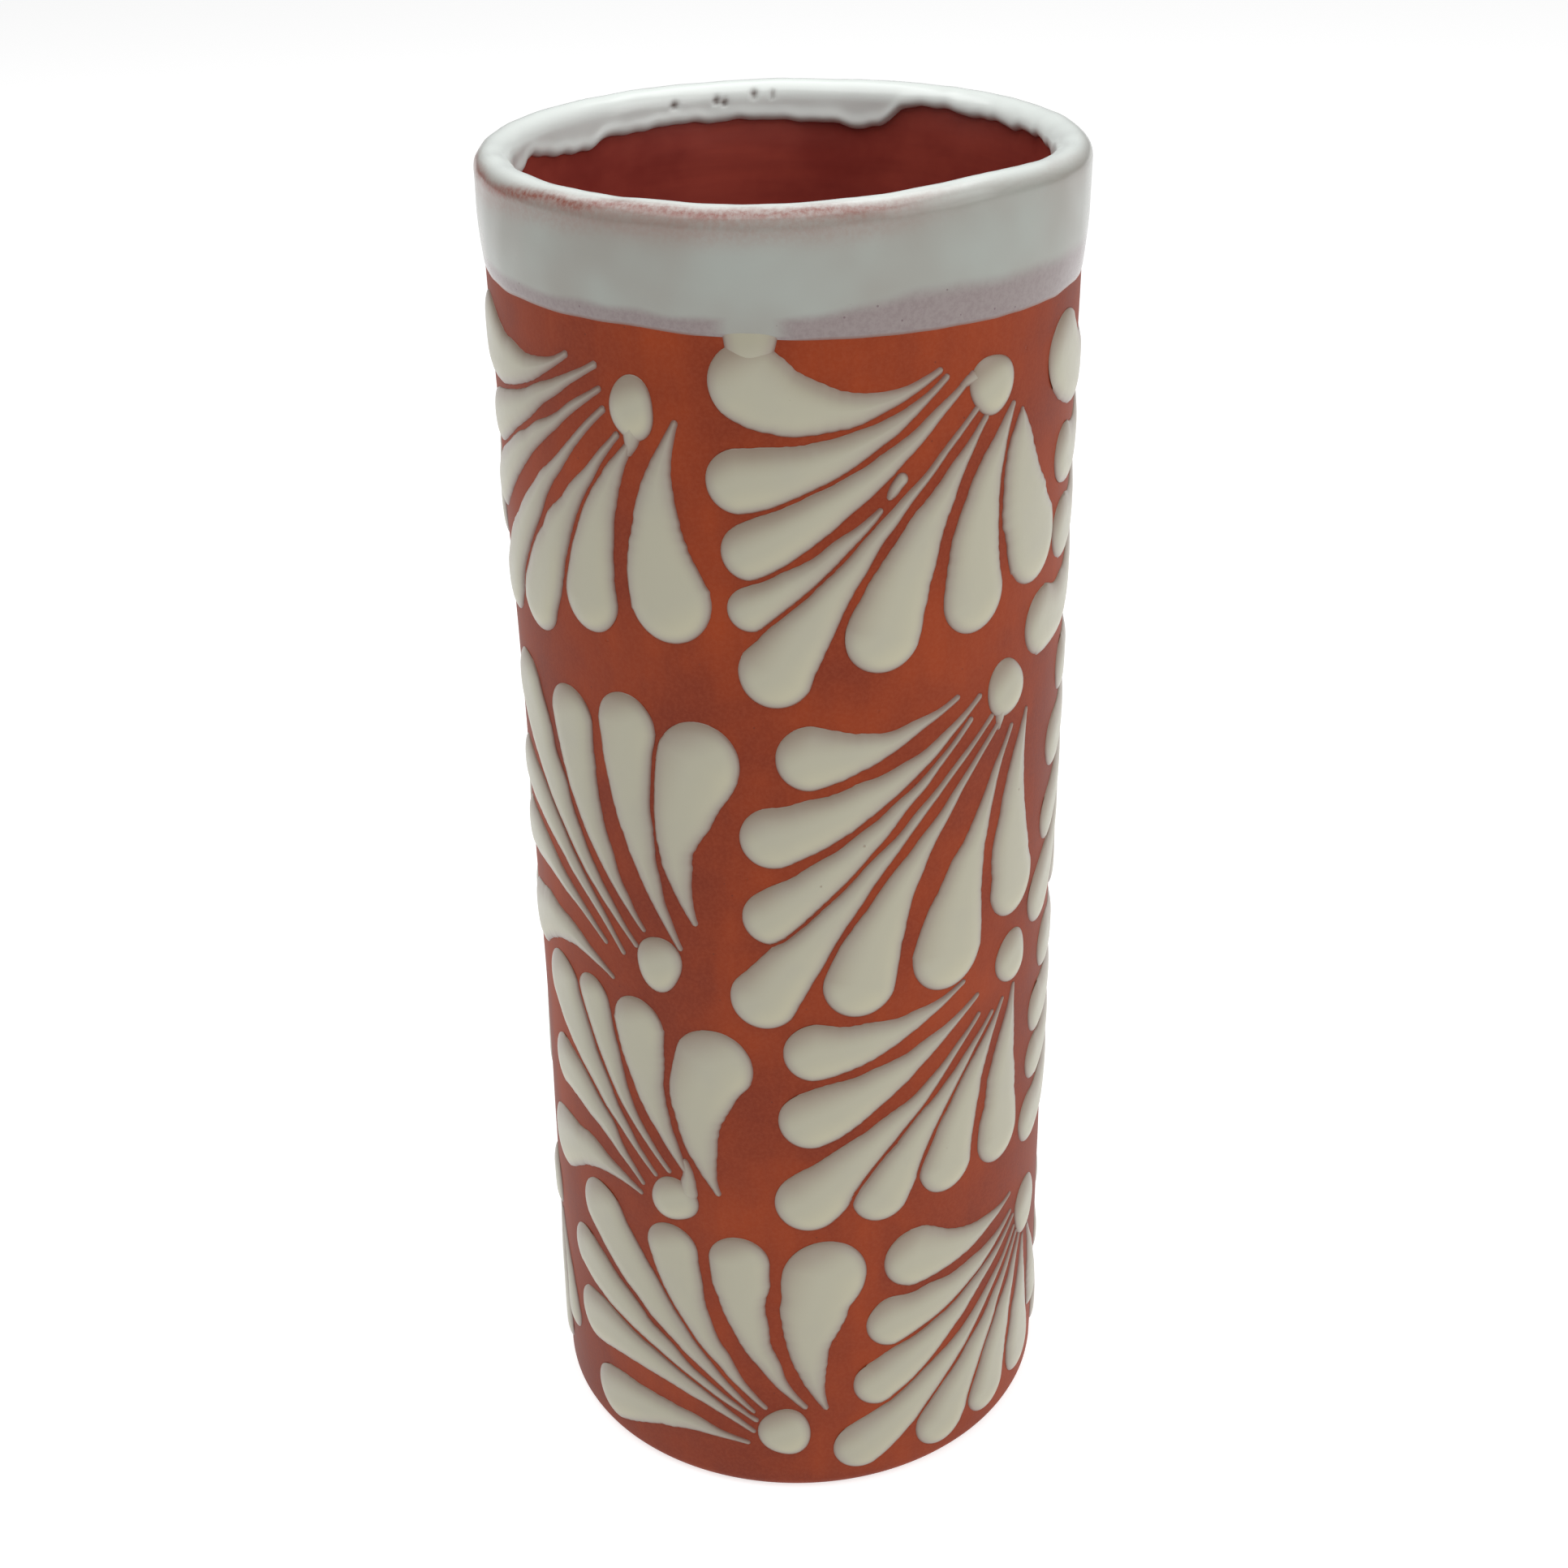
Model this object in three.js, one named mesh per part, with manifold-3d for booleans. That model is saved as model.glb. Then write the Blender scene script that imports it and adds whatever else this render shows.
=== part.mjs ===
/*
 * A cylindrical talavera vase. One cup of red clay carries a white glaze dipped over its lip, a clear
 * glaze lining, and five columns of four fans. A fan is a spray of raised slip strokes whose thin
 * tails run together under a dot.
 *
 * Millimetres, +Z up, origin in the middle of the flat base. Angle 0 faces -Y and grows towards +X.
 */
import * as THREE from 'three';
import Module from 'manifold-3d';

// ---- Driving dimensions ----------------------------------------------------------------------
const HEIGHT = 200;              // base to the glazed lip, where it is level
const FOOT_RADIUS = 38.9;        // clay, outside, at the base
const LIP_RADIUS = 39.4;         // clay, outside, at the lip
const WAIST_DEPTH = 0.35;        // how far the wall draws in at mid height
const LEAN = 1.6;                // how far the lip stands out over the foot, towards +X
const OVALNESS = 0.2;            // how far the lip is out of round
const OVAL_ANGLE = degrees(60);  // where the oval is widest
const LIP_DIP = 0.5;             // the lip sinks this far on the side away from LIP_HIGH_ANGLE
const LIP_HIGH_ANGLE = degrees(210);
const LIP_HUMP = 1.1;            // a low hump that stands up out of the lip
const LIP_HUMP_ANGLE = degrees(38);
const LIP_HUMP_WIDTH = degrees(24);
const LIP_WALL = 3.5;            // thickness of the clay at the rounded lip
const WALL = 4.6;                // thickness of the clay below the lip
const WALL_TAPER = 45;           // height over which the lip's thickness grows to the wall's
const FLOOR = 7;                 // thickness of the floor
const FLOOR_CORNER = 9;          // radius between the floor and the wall, inside
const FOOT_EDGE = 1.8;           // radius of the worn edge round the base

const GAP = 0.3;                 // clearance between neighbouring pieces
const RIM_GLAZE = 0.5;           // thickness of the white glaze
const RIM_DROP = 15.9;           // how far the white glaze reaches down the outside
const RIM_TILT = 1;              // the dip was not level: its edge is higher at -X, lower at +X
const LINING = 0.5;              // thickness of the clear glaze inside
const LINING_DROP = 7.5;         // the lining stops this far under the lip

const STROKE_CROWN = 0.5;        // thickness of the slip in the middle of a stroke's head
const STROKE_THIN = 0.3;         // thickness of the slip in a tail
const TAIL_HALF_WIDTH = 0.4;
const PAD_RADIUS = 3;            // slip under the dot, where the tails meet
const DOT_CROWN = 0.6;

// How far the white glaze runs in from the crown of the lip: angle in degrees, reach
const INNER_REACH = [
  [0, 6], [25, 5.2], [50, 6.2], [78, 4.8], [100, 3.2], [116, 3.6], [133, 3.2], [146, 2.9], [151, 3.6],
  [156, 6.4], [160, 6.9], [166, 6.2], [180, 6], [187, 5.4], [214, 5.6], [223, 5.6], [230, 6.7],
  [240, 6.6], [252, 4.6], [262, 6], [290, 6], [320, 4.8], [340, 5.8],
];

// ---- The painted pattern ---------------------------------------------------------------------
// The fans are drawn flat, as on a pot of PATTERN_RADIUS whose white glaze ends at PATTERN_TOP, and
// are then fitted to this one. A place is [along, height], along being arc length from angle 0.
const PATTERN_RADIUS = 40;
const PATTERN_TOP = 184;
const COLUMNS = 5;
const COLUMN_PITCH = 2 * Math.PI * PATTERN_RADIUS / COLUMNS;

// Each stroke is [tail, middle, centre of the round head, radius of the head, taper]. A taper of 1
// widens from the tail on, and a larger one keeps the stroke thin for longer. A dot is
// [along, height, half width, half height]. The rows run from the lip down.
const LEFT_COLUMN = [
  { dot: [-20.5, 174.3, 3.5, 4], strokes: [
    [[-31, 179.5], [-42, 175.5], [-54, 177], 5.5, 1.7],
    [[-26, 179], [-40, 171.5], [-53, 166], 3.6, 1.7],
    [[-25.5, 176], [-40, 166.5], [-55, 156], 3.5, 1.7],
    [[-25, 173.5], [-38, 160.5], [-52, 143], 4.5, 2],
    [[-23, 170.5], [-33, 158], [-41.5, 144.3], 5.2, 1.8],
    [[-20.5, 170.5], [-27, 158.5], [-29.2, 147.4], 4.9, 1.3],
    [[-14.5, 173], [-17.7, 161], [-16.3, 149.5], 6, 1.4],
  ] },
  { dot: [-20.6, 94, 3.9, 4.4], strokes: [
    [[-14.5, 102], [-16.7, 113.5], [-13.2, 126.7], 6, 1.2],
    [[-17, 97.5], [-23, 113.5], [-24.3, 130], 4.9, 1.4],
    [[-23, 99], [-31.5, 113], [-35.3, 128], 4.9, 1.5],
    [[-24.5, 96], [-37.5, 111.5], [-48.7, 128], 5.3, 1.6],
    [[-27, 94], [-39, 106.5], [-53, 114], 4, 1.7],
    [[-30.5, 94.5], [-42, 101.5], [-54, 103.5], 4, 1.7],
    [[-29.5, 89], [-41, 92.5], [-52, 89.5], 5, 1.5],
  ] },
  { dot: [-19.8, 53.5, 4, 4], strokes: [
    [[-12.4, 56.5], [-15.3, 68], [-12.7, 78.5], 6.2, 1.2],
    [[-17, 58.5], [-22.7, 70], [-25, 82.5], 4.6, 1.4],
    [[-20.5, 58.5], [-29, 70], [-34.4, 83.5], 3.7, 1.8],
    [[-23, 57], [-34, 69.5], [-43.1, 81.3], 5.5, 1.8],
    [[-25.5, 54.5], [-35.5, 63.5], [-44, 67], 4.6, 1.6],
    [[-26, 52.5], [-36.5, 54.3], [-47, 51.5], 5.3, 1.5],
  ] },
  { dot: [-2.9, 11.7, 4, 4.9], strokes: [
    [[3.6, 16.5], [1.2, 28.5], [3.7, 42], 6.5, 1.2],
    [[0.3, 16.8], [-7, 29], [-9.5, 44], 4.9, 1.4],
    [[-6, 16.5], [-15.7, 29.5], [-20.6, 44], 4.6, 1.6],
    [[-8, 15.5], [-21.7, 29.5], [-35, 44.5], 5.4, 1.6],
    [[-7.5, 13.8], [-24, 24.3], [-40.5, 33.3], 4.6, 1.7],
    [[-8, 11.5], [-24, 19.8], [-39.5, 21.2], 4.8, 1.5],
    [[-9, 9], [-22, 10.4], [-34.5, 8.3], 5.1, 1.6],
  ] },
];

const MIDDLE_COLUMN = [
  { dot: [28, 175, 3.7, 4.1], strokes: [
    [[19.5, 178.3], [6.5, 174.8], [-4.8, 178.6], 5.2, 1.7],
    [[20.5, 177.3], [8, 169.7], [-6.3, 166.2], 4.3, 1.6],
    [[24.5, 177], [10, 165.8], [-5, 157], 3.9, 1.6],
    [[11.5, 161.5], [4, 155], [-5.2, 149.2], 3.1, 1.2],
    [[25.5, 172.5], [9.7, 156.3], [-2, 140.5], 5.1, 2.8],
    [[27, 171], [17.7, 157.5], [12.2, 144.8], 5.4, 1.5],
    [[32, 171.5], [26.7, 159], [26, 147.2], 5.2, 1.1],
    [[34, 170.2], [35, 160], [38.3, 151.5], 6.2, 0.8],
  ] },
  { dot: [33, 131.8, 4, 4.3], strokes: [
    [[23.5, 133.3], [13, 129.3], [2.4, 128], 4.8, 2.1],
    [[27.5, 132.3], [12.3, 122.3], [-3, 116.2], 4.6, 1.7],
    [[26, 129.3], [11, 115.5], [-3.2, 104], 4.3, 2.2],
    [[30, 128.5], [11.3, 110.5], [-4.5, 91], 5.1, 2.8],
    [[32, 127.5], [17.3, 110.2], [9.2, 92.6], 5.5, 2.5],
    [[34.5, 125.5], [27.3, 110], [23.2, 94.2], 6.1, 1.9],
    [[38.3, 126.5], [35.7, 113], [36.5, 100.3], 5.4, 1.2],
  ] },
  { dot: [37, 87.5, 4.1, 4.2], strokes: [
    [[26, 88], [14, 83.3], [2.7, 81.8], 4.8, 1.7],
    [[29, 84.5], [14, 75.8], [2, 70.4], 5, 1.6],
    [[29.5, 81], [14.5, 67], [1.5, 56], 5.3, 2],
    [[32.5, 80], [21, 67.3], [12.6, 55.5], 4.7, 1.9],
    [[35, 81], [27.7, 68.5], [23.8, 57.3], 5, 1.5],
    [[38, 82], [36, 69], [35.3, 57.4], 5.2, 1.1],
  ] },
  { dot: [45.3, 37.3, 4.2, 4.9], strokes: [
    [[39, 43.2], [29, 41.3], [18.3, 42.3], 5.3, 1.7],
    [[39.5, 39.5], [27, 34], [14.8, 31.3], 4.7, 1.5],
    [[40.5, 38], [26, 28.3], [12.6, 20.2], 4.6, 1.7],
    [[41, 35.5], [24.5, 19.5], [9.4, 8.1], 4.7, 1.8],
    [[42, 34], [32, 20], [23.6, 7.8], 4.9, 1.8],
    [[43.5, 33], [37.7, 19.5], [34.2, 8.3], 4.8, 1.5],
    [[45, 31], [44.5, 20], [45, 9], 4.8, 1.3],
    [[47.5, 31.5], [50.5, 23], [52.5, 15.5], 3.6, 1.3],
  ] },
];

const RIGHT_COLUMN = [
  { dot: [80.5, 176, 3.7, 4.1], strokes: [
    [[72, 179.5], [57.5, 171], [46, 174.5], 5.8, 1.4],
    [[74, 177.5], [60, 162.5], [48.3, 160.3], 4.3, 1.6],
    [[75.5, 175.7], [62, 154.5], [49, 149.6], 4.4, 1.7],
    [[76.8, 173.5], [61, 145], [41.8, 138.6], 4.8, 1.5],
    [[78.5, 171.5], [72.5, 155], [66.5, 139.5], 4.4, 1.8],
    [[80, 170.8], [77.5, 156], [75.2, 142.5], 4.4, 1.5],
    [[83, 171], [83, 158.5], [84.2, 147], 4.8, 1.3],
  ] },
  { dot: [83, 131, 4, 4.3], strokes: [
    [[74, 133.5], [64, 130], [54.5, 127.5], 4.5, 1.6],
    [[77.5, 132], [63, 122.5], [50.5, 117], 4.3, 1.7],
    [[76, 128.5], [62.5, 115.5], [49.5, 105.5], 4.3, 1.8],
    [[80, 128], [61.5, 107.5], [46.3, 93.8], 4.8, 2.2],
    [[82.5, 127], [69, 109], [60, 93.5], 5.3, 1.9],
    [[84.5, 125.5], [77.5, 109], [73, 94.5], 5.7, 1.6],
    [[88.5, 126], [86.5, 113], [86.5, 100.5], 5.4, 1.3],
  ] },
  { dot: [86, 87.5, 4.1, 4.2], strokes: [
    [[76, 88], [64, 84], [51.5, 82.8], 4.5, 1.7],
    [[78.5, 84.5], [63, 76.5], [48.5, 73], 4.6, 1.7],
    [[79, 80.5], [62, 69], [47.5, 64.3], 4, 1.8],
    [[80.5, 79.5], [61, 61.5], [46.2, 54], 4.6, 2],
    [[83.5, 79.5], [73, 66], [65.3, 55.5], 4.8, 1.8],
    [[85.5, 79.5], [80, 67], [76, 57], 4.8, 1.5],
    [[88.5, 79.5], [87, 68], [87, 57.5], 5.2, 1.2],
  ] },
  { dot: [95.5, 37, 4.2, 4.8], strokes: [
    [[89.5, 43], [79, 41.3], [69, 42], 5, 1.7],
    [[89.5, 39.5], [77, 34], [65.5, 31], 4.7, 1.5],
    [[90.5, 38], [76, 28], [63.5, 20], 4.5, 1.7],
    [[91, 35.5], [75, 19], [60, 7.8], 4.7, 1.8],
    [[92, 34], [82.5, 19.5], [74, 7.8], 4.8, 1.8],
    [[93.5, 33], [88, 19.5], [84.5, 8.3], 4.7, 1.5],
    [[95, 31], [94.5, 20], [95, 9], 4.8, 1.3],
    [[97.5, 31.5], [100.5, 23], [102.5, 15.5], 3.6, 1.3],
  ] },
];

// The two columns on the far side repeat the left and middle ones, three columns further round
const FAR_LEFT_SHIFT = 3 * COLUMN_PITCH;
const FAR_MIDDLE_SHIFT = 3 * COLUMN_PITCH - 1.5;
const COLUMN_FANS = [
  { fans: LEFT_COLUMN, shift: 0 },
  { fans: MIDDLE_COLUMN, shift: 0 },
  { fans: RIGHT_COLUMN, shift: 0 },
  { fans: LEFT_COLUMN, shift: FAR_LEFT_SHIFT },
  { fans: MIDDLE_COLUMN, shift: FAR_MIDDLE_SHIFT },
];

// ---- Fineness of the facets ------------------------------------------------------------------
const AROUND = 48;               // steps round the pot
const LIP_STEPS = 4;             // steps over the rounded lip
const CORNER_STEPS = 2;          // steps in the corner inside
const STROKE_STEP = 7.5;         // longest step along a stroke
const DOT_SIDES = 9;

// ---- Materials -------------------------------------------------------------------------------
const CLAY = new THREE.MeshStandardMaterial({ color: 0x8c3c28, roughness: 0.62, metalness: 0 });
const LINING_GLAZE = new THREE.MeshStandardMaterial({ color: 0x6b241a, roughness: 0.2, metalness: 0 });
const WHITE_GLAZE = new THREE.MeshStandardMaterial({ color: 0xa8aca3, roughness: 0.18, metalness: 0 });
const SLIP = new THREE.MeshStandardMaterial({ color: 0xb4b09a, roughness: 0.25, metalness: 0 });

// ---- Small helpers ---------------------------------------------------------------------------
function degrees(value) {
  return value * Math.PI / 180;
}

/** A point at a radius, height and angle round the pot's leaning axis. */
function polar(radius, height, angle) {
  const axisX = LEAN * (height / HEIGHT - 0.5);
  return new THREE.Vector3(axisX + radius * Math.sin(angle), -radius * Math.cos(angle), height);
}

function steps(count) {
  return Array.from({ length: count + 1 }, (_, i) => i / count);
}

/** Smooth value of a list of [degrees, value] pairs that goes once round the pot. */
function roundList(list, angle) {
  const turn = THREE.MathUtils.euclideanModulo(THREE.MathUtils.radToDeg(angle), 360);
  const next = list.findIndex(([at]) => at > turn);
  const [endAt, end] = next < 0 ? [360, list[0][1]] : list[next];
  const [startAt, start] = list[(next < 0 ? list.length : next) - 1];
  return THREE.MathUtils.lerp(start, end, THREE.MathUtils.smoothstep(turn, startAt, endAt));
}

/**
 * One closed skin through a list of rings of equal length. With end points the first and last ring
 * close on them; without, the last ring joins the first.
 */
function closedSkin(rings, startPoint, endPoint) {
  const side = rings[0].length;
  const points = rings.flat();
  const triangles = [];
  const lastJoin = startPoint ? rings.length - 1 : rings.length;
  for (let row = 0; row < lastJoin; row += 1) {
    const nextRow = (row + 1) % rings.length;
    for (let k = 0; k < side; k += 1) {
      const here = row * side + k;
      const beside = row * side + (k + 1) % side;
      const above = nextRow * side + k;
      const aboveBeside = nextRow * side + (k + 1) % side;
      triangles.push(here, beside, aboveBeside, here, aboveBeside, above);
    }
  }
  if (startPoint) {
    const first = points.push(startPoint) - 1;
    const last = points.push(endPoint) - 1;
    const top = (rings.length - 1) * side;
    for (let k = 0; k < side; k += 1) {
      triangles.push(first, (k + 1) % side, k);
      triangles.push(last, top + k, top + (k + 1) % side);
    }
  }
  const geometry = new THREE.BufferGeometry().setFromPoints(points);
  geometry.setIndex(triangles);
  return geometry;
}

/** Rings round the pot, one for each section point; sectionAt(angle) gives [radius, height] pairs. */
function ringsAround(sectionAt) {
  const angles = steps(AROUND).slice(0, -1).map((part) => part * 2 * Math.PI);
  const sections = angles.map(sectionAt);
  return sections[0].map((_, i) => angles.map((angle, k) => polar(...sections[k][i], angle)));
}

// ---- The wall's shape ------------------------------------------------------------------------
/** Height of the clay lip's crown. */
function lipHeight(angle) {
  const dip = LIP_DIP * (1 - Math.cos(angle - LIP_HIGH_ANGLE)) / 2;
  const nearness = (Math.cos(angle - LIP_HUMP_ANGLE) - 1) * 2 / LIP_HUMP_WIDTH ** 2;
  return HEIGHT - RIM_GLAZE - GAP - dip + LIP_HUMP * Math.exp(nearness);
}

/** Clay's outside radius, with the worn edge round the base. */
function outsideRadius(height, angle) {
  const rise = height / HEIGHT;
  const cone = THREE.MathUtils.lerp(FOOT_RADIUS, LIP_RADIUS, rise);
  const waist = WAIST_DEPTH * Math.sin(Math.PI * rise) ** 2;
  const oval = OVALNESS * rise * Math.cos(2 * (angle - OVAL_ANGLE));
  const overEdge = Math.max(FOOT_EDGE - height, 0);
  const edge = FOOT_EDGE - Math.sqrt(FOOT_EDGE ** 2 - overEdge ** 2);
  return cone - waist + oval - edge;
}

/** Clay's inside radius. */
function insideRadius(height, angle) {
  const depth = lipHeight(angle) - height;
  const thickness = THREE.MathUtils.lerp(LIP_WALL, WALL, THREE.MathUtils.smoothstep(depth, 0, WALL_TAPER));
  return outsideRadius(height, angle) - thickness;
}

/**
 * [radius, height] at a walk over the lip, in millimetres from its crown: negative outside, positive
 * inside. lift moves the point off the clay.
 */
function overLip(angle, walk, lift) {
  const round = LIP_WALL / 2;
  const quarter = round * Math.PI / 2;
  const centreHeight = lipHeight(angle) - round;
  const beyond = Math.max(Math.abs(walk) - quarter, 0);
  const height = centreHeight - beyond;
  if (beyond > 0 && walk < 0) {
    return [outsideRadius(height, angle) + lift, height];
  }
  if (beyond > 0) {
    return [insideRadius(height, angle) - lift, height];
  }
  const turn = walk / round;
  const centreRadius = (outsideRadius(height, angle) + insideRadius(height, angle)) / 2;
  return [centreRadius - (round + lift) * Math.sin(turn), centreHeight + (round + lift) * Math.cos(turn)];
}

/** Heights of the facets on the inside wall, between the lip and the floor's corner. */
function insideHeights(angle) {
  const top = lipHeight(angle) - WALL_TAPER / 2;
  const bottom = FLOOR + FLOOR_CORNER;
  return steps(3).slice(0, -1).map((part) => THREE.MathUtils.lerp(top, bottom, part));
}

/** [radius, height] on the floor's inner corner, from the wall (part 0) to the floor (part 1). */
function innerCorner(angle, part, lift) {
  const turn = part * Math.PI / 2;
  const centreHeight = FLOOR + FLOOR_CORNER;
  const centreRadius = insideRadius(centreHeight, angle) - FLOOR_CORNER;
  const reach = FLOOR_CORNER - lift;
  return [centreRadius + reach * Math.cos(turn), centreHeight - reach * Math.sin(turn)];
}

/** Height of the white glaze's lower edge on the outside. */
function rimEdgeHeight(angle) {
  return HEIGHT - RIM_DROP - RIM_TILT * Math.sin(angle);
}

// ---- The cup and its glazes ------------------------------------------------------------------
function clayBody() {
  const quarterLip = LIP_WALL * Math.PI / 4;
  const section = (angle) => {
    const lipStart = lipHeight(angle) - LIP_WALL / 2;
    const edge = steps(2).map((part) => FOOT_EDGE * (1 - Math.cos(part * Math.PI / 2)));
    const wall = steps(6).slice(1, -1).map((part) => THREE.MathUtils.lerp(FOOT_EDGE, lipStart, part));
    const outside = [...edge, ...wall].map((height) => [outsideRadius(height, angle), height]);
    const lip = steps(LIP_STEPS).map((part) => overLip(angle, (2 * part - 1) * quarterLip, 0));
    const insideWall = insideHeights(angle).map((height) => [insideRadius(height, angle), height]);
    const corner = steps(CORNER_STEPS).map((part) => innerCorner(angle, part, 0));
    return [...outside, ...lip, ...insideWall, ...corner];
  };
  return closedSkin(ringsAround(section), polar(0, 0, 0), polar(0, FLOOR, 0));
}

/** A walk over the lip from the outer edge to the inner edge of the white glaze. */
function rimGlazeWalks(angle) {
  const quarterLip = LIP_WALL * Math.PI / 4;
  const outerEnd = lipHeight(angle) - LIP_WALL / 2 - rimEdgeHeight(angle) + quarterLip;
  const outside = steps(2).slice(0, -1).map((part) => THREE.MathUtils.lerp(-outerEnd, -quarterLip, part));
  const over = steps(LIP_STEPS / 2).slice(0, -1).map((part) => (part - 1) * quarterLip);
  const reach = roundList(INNER_REACH, angle);
  const bend = Math.min(quarterLip, 0.95 * reach);
  return [...outside, ...over, 0, bend / 2, bend, reach];
}

function rimGlaze() {
  const section = (angle) => {
    const walks = rimGlazeWalks(angle);
    const outerFace = walks.map((walk) => overLip(angle, walk, GAP + RIM_GLAZE));
    const innerFace = walks.map((walk) => overLip(angle, walk, GAP));
    return [...outerFace, ...innerFace.reverse()];
  };
  return closedSkin(ringsAround(section));
}

function innerGlaze() {
  const face = (angle, lift) => {
    const heights = [HEIGHT - LINING_DROP, ...insideHeights(angle)];
    const wall = heights.map((height) => [insideRadius(height, angle) - lift, height]);
    return [...wall, ...steps(CORNER_STEPS).map((part) => innerCorner(angle, part, lift))];
  };
  const section = (angle) => [...face(angle, GAP).reverse(), ...face(angle, GAP + LINING)];
  const underside = polar(0, FLOOR + GAP, 0);
  const topside = polar(0, FLOOR + GAP + LINING, 0);
  return closedSkin(ringsAround(section), underside, topside);
}

// ---- Slip strokes and dots -------------------------------------------------------------------
/** How much the pattern grows upwards at an angle to end at this pot's white glaze. */
function patternRise(angle) {
  return rimEdgeHeight(angle) / (PATTERN_TOP - RIM_TILT * Math.sin(angle));
}

/** A point of the pattern, lifted off the clay. */
function onWall(along, height, lift) {
  const angle = along / PATTERN_RADIUS;
  const realHeight = height * patternRise(angle);
  return polar(outsideRadius(realHeight, angle) + lift, realHeight, angle);
}

/** Places and half widths along one stroke, from the pad under the dot to the round head. */
function strokePath(dot, [tail, middle, head, radius, taper]) {
  const centre = new THREE.Vector2(dot[0], dot[1]);
  const tailPoint = new THREE.Vector2(...tail);
  const start = centre.clone().lerp(tailPoint, 0.8 * PAD_RADIUS / centre.distanceTo(tailPoint));
  const headPoint = new THREE.Vector2(...head);
  const control = new THREE.Vector2(...middle).multiplyScalar(2);
  control.sub(tailPoint.clone().add(headPoint).divideScalar(2));
  const curve = new THREE.QuadraticBezierCurve(tailPoint, control, headPoint);
  const threadSteps = Math.ceil(start.distanceTo(tailPoint) / STROKE_STEP);
  const thread = steps(threadSteps).slice(0, -1).map((part) => ({
    place: start.clone().lerp(tailPoint, part), halfWidth: TAIL_HALF_WIDTH,
  }));
  const curveSteps = Math.ceil(curve.getLength() / STROKE_STEP);
  const body = steps(curveSteps).map((part) => ({
    place: curve.getPoint(part),
    halfWidth: THREE.MathUtils.lerp(TAIL_HALF_WIDTH, radius, 1 - (1 - part ** taper) ** 1.35),
  }));
  const onward = curve.getTangent(1);
  const shoulder = degrees(45);
  const cap = {
    place: headPoint.clone().addScaledVector(onward, radius * Math.sin(shoulder)),
    halfWidth: radius * Math.cos(shoulder),
  };
  const tip = headPoint.clone().addScaledVector(onward, radius);
  return { stations: [...thread, ...body, cap], tip };
}

/** One drop of slip: a flat underside and a crown along its middle. */
function strokeSolid(dot, stroke, shift) {
  const { stations, tip } = strokePath(dot, stroke);
  const rings = stations.map(({ place, halfWidth }, i) => {
    const before = stations[Math.max(i - 1, 0)].place;
    const after = i + 1 < stations.length ? stations[i + 1].place : tip;
    const across = after.clone().sub(before).normalize().multiplyScalar(halfWidth);
    const crown = STROKE_THIN + (STROKE_CROWN - STROKE_THIN) * halfWidth / stroke[3];
    return [
      onWall(place.x + shift + across.y, place.y - across.x, GAP),
      onWall(place.x + shift, place.y, GAP),
      onWall(place.x + shift - across.y, place.y + across.x, GAP),
      onWall(place.x + shift, place.y, GAP + crown),
    ];
  });
  const middleLift = GAP + STROKE_THIN / 2;
  const back = stations[0].place.clone().lerp(stations[1].place, -0.2);
  return closedSkin(rings, onWall(back.x + shift, back.y, middleLift), onWall(tip.x + shift, tip.y, middleLift));
}

/** A round or oval drop lying between two lifts over the clay. */
function drop([along, height, halfWidth, halfHeight], shift, underside, crown) {
  const layers = [[1, 0], [0.7, 0.7]];
  const sides = steps(DOT_SIDES).slice(0, -1).map((part) => part * 2 * Math.PI);
  const rings = layers.map(([spread, rise]) => sides.map((turn) => onWall(
    along + shift + spread * halfWidth * Math.cos(turn),
    height + spread * halfHeight * Math.sin(turn),
    underside + rise * crown,
  )));
  const bottom = onWall(along + shift, height, underside);
  return closedSkin(rings, bottom, onWall(along + shift, height, underside + crown));
}

function dotSolid(fan, shift) {
  return drop(fan.dot, shift, GAP + STROKE_THIN + GAP, DOT_CROWN);
}

/** The strokes of one fan, joined where their tails meet. */
function fanSolid(fan, shift) {
  const [along, height] = fan.dot;
  const pad = drop([along, height, PAD_RADIUS, PAD_RADIUS], shift, GAP, STROKE_THIN);
  const pieces = [pad, ...fan.strokes.map((stroke) => strokeSolid(fan.dot, stroke, shift))];
  const joined = pieces.map(toSolid).reduce((whole, piece) => whole.add(piece));
  return fromSolid(joined);
}

// ---- Joining with manifold-3d ----------------------------------------------------------------
const wasm = await Module();
wasm.setup();

function toSolid(geometry) {
  const vertProperties = new Float32Array(geometry.getAttribute('position').array);
  const triVerts = new Uint32Array(geometry.getIndex().array);
  return new wasm.Manifold(new wasm.Mesh({ numProp: 3, vertProperties, triVerts }));
}

function fromSolid(solid) {
  const mesh = solid.getMesh();
  const geometry = new THREE.BufferGeometry();
  geometry.setAttribute('position', new THREE.BufferAttribute(mesh.vertProperties, 3));
  geometry.setIndex(new THREE.BufferAttribute(mesh.triVerts, 1));
  return geometry;
}

// ---- Assembly --------------------------------------------------------------------------------
const vase = new THREE.Group();

function addPiece(name, geometry, material) {
  geometry.computeVertexNormals();
  const mesh = new THREE.Mesh(geometry, material);
  mesh.name = name;
  vase.add(mesh);
}

addPiece('clay_body', clayBody(), CLAY);
addPiece('inner_glaze', innerGlaze(), LINING_GLAZE);
addPiece('rim_glaze', rimGlaze(), WHITE_GLAZE);
COLUMN_FANS.forEach(({ fans, shift }, column) => {
  fans.forEach((fan, row) => {
    const place = `row${row + 1}_col${column + 1}`;
    addPiece(`fan_${place}`, fanSolid(fan, shift), SLIP);
    addPiece(`dot_${place}`, dotSolid(fan, shift), SLIP);
  });
});

export default vase;
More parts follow.
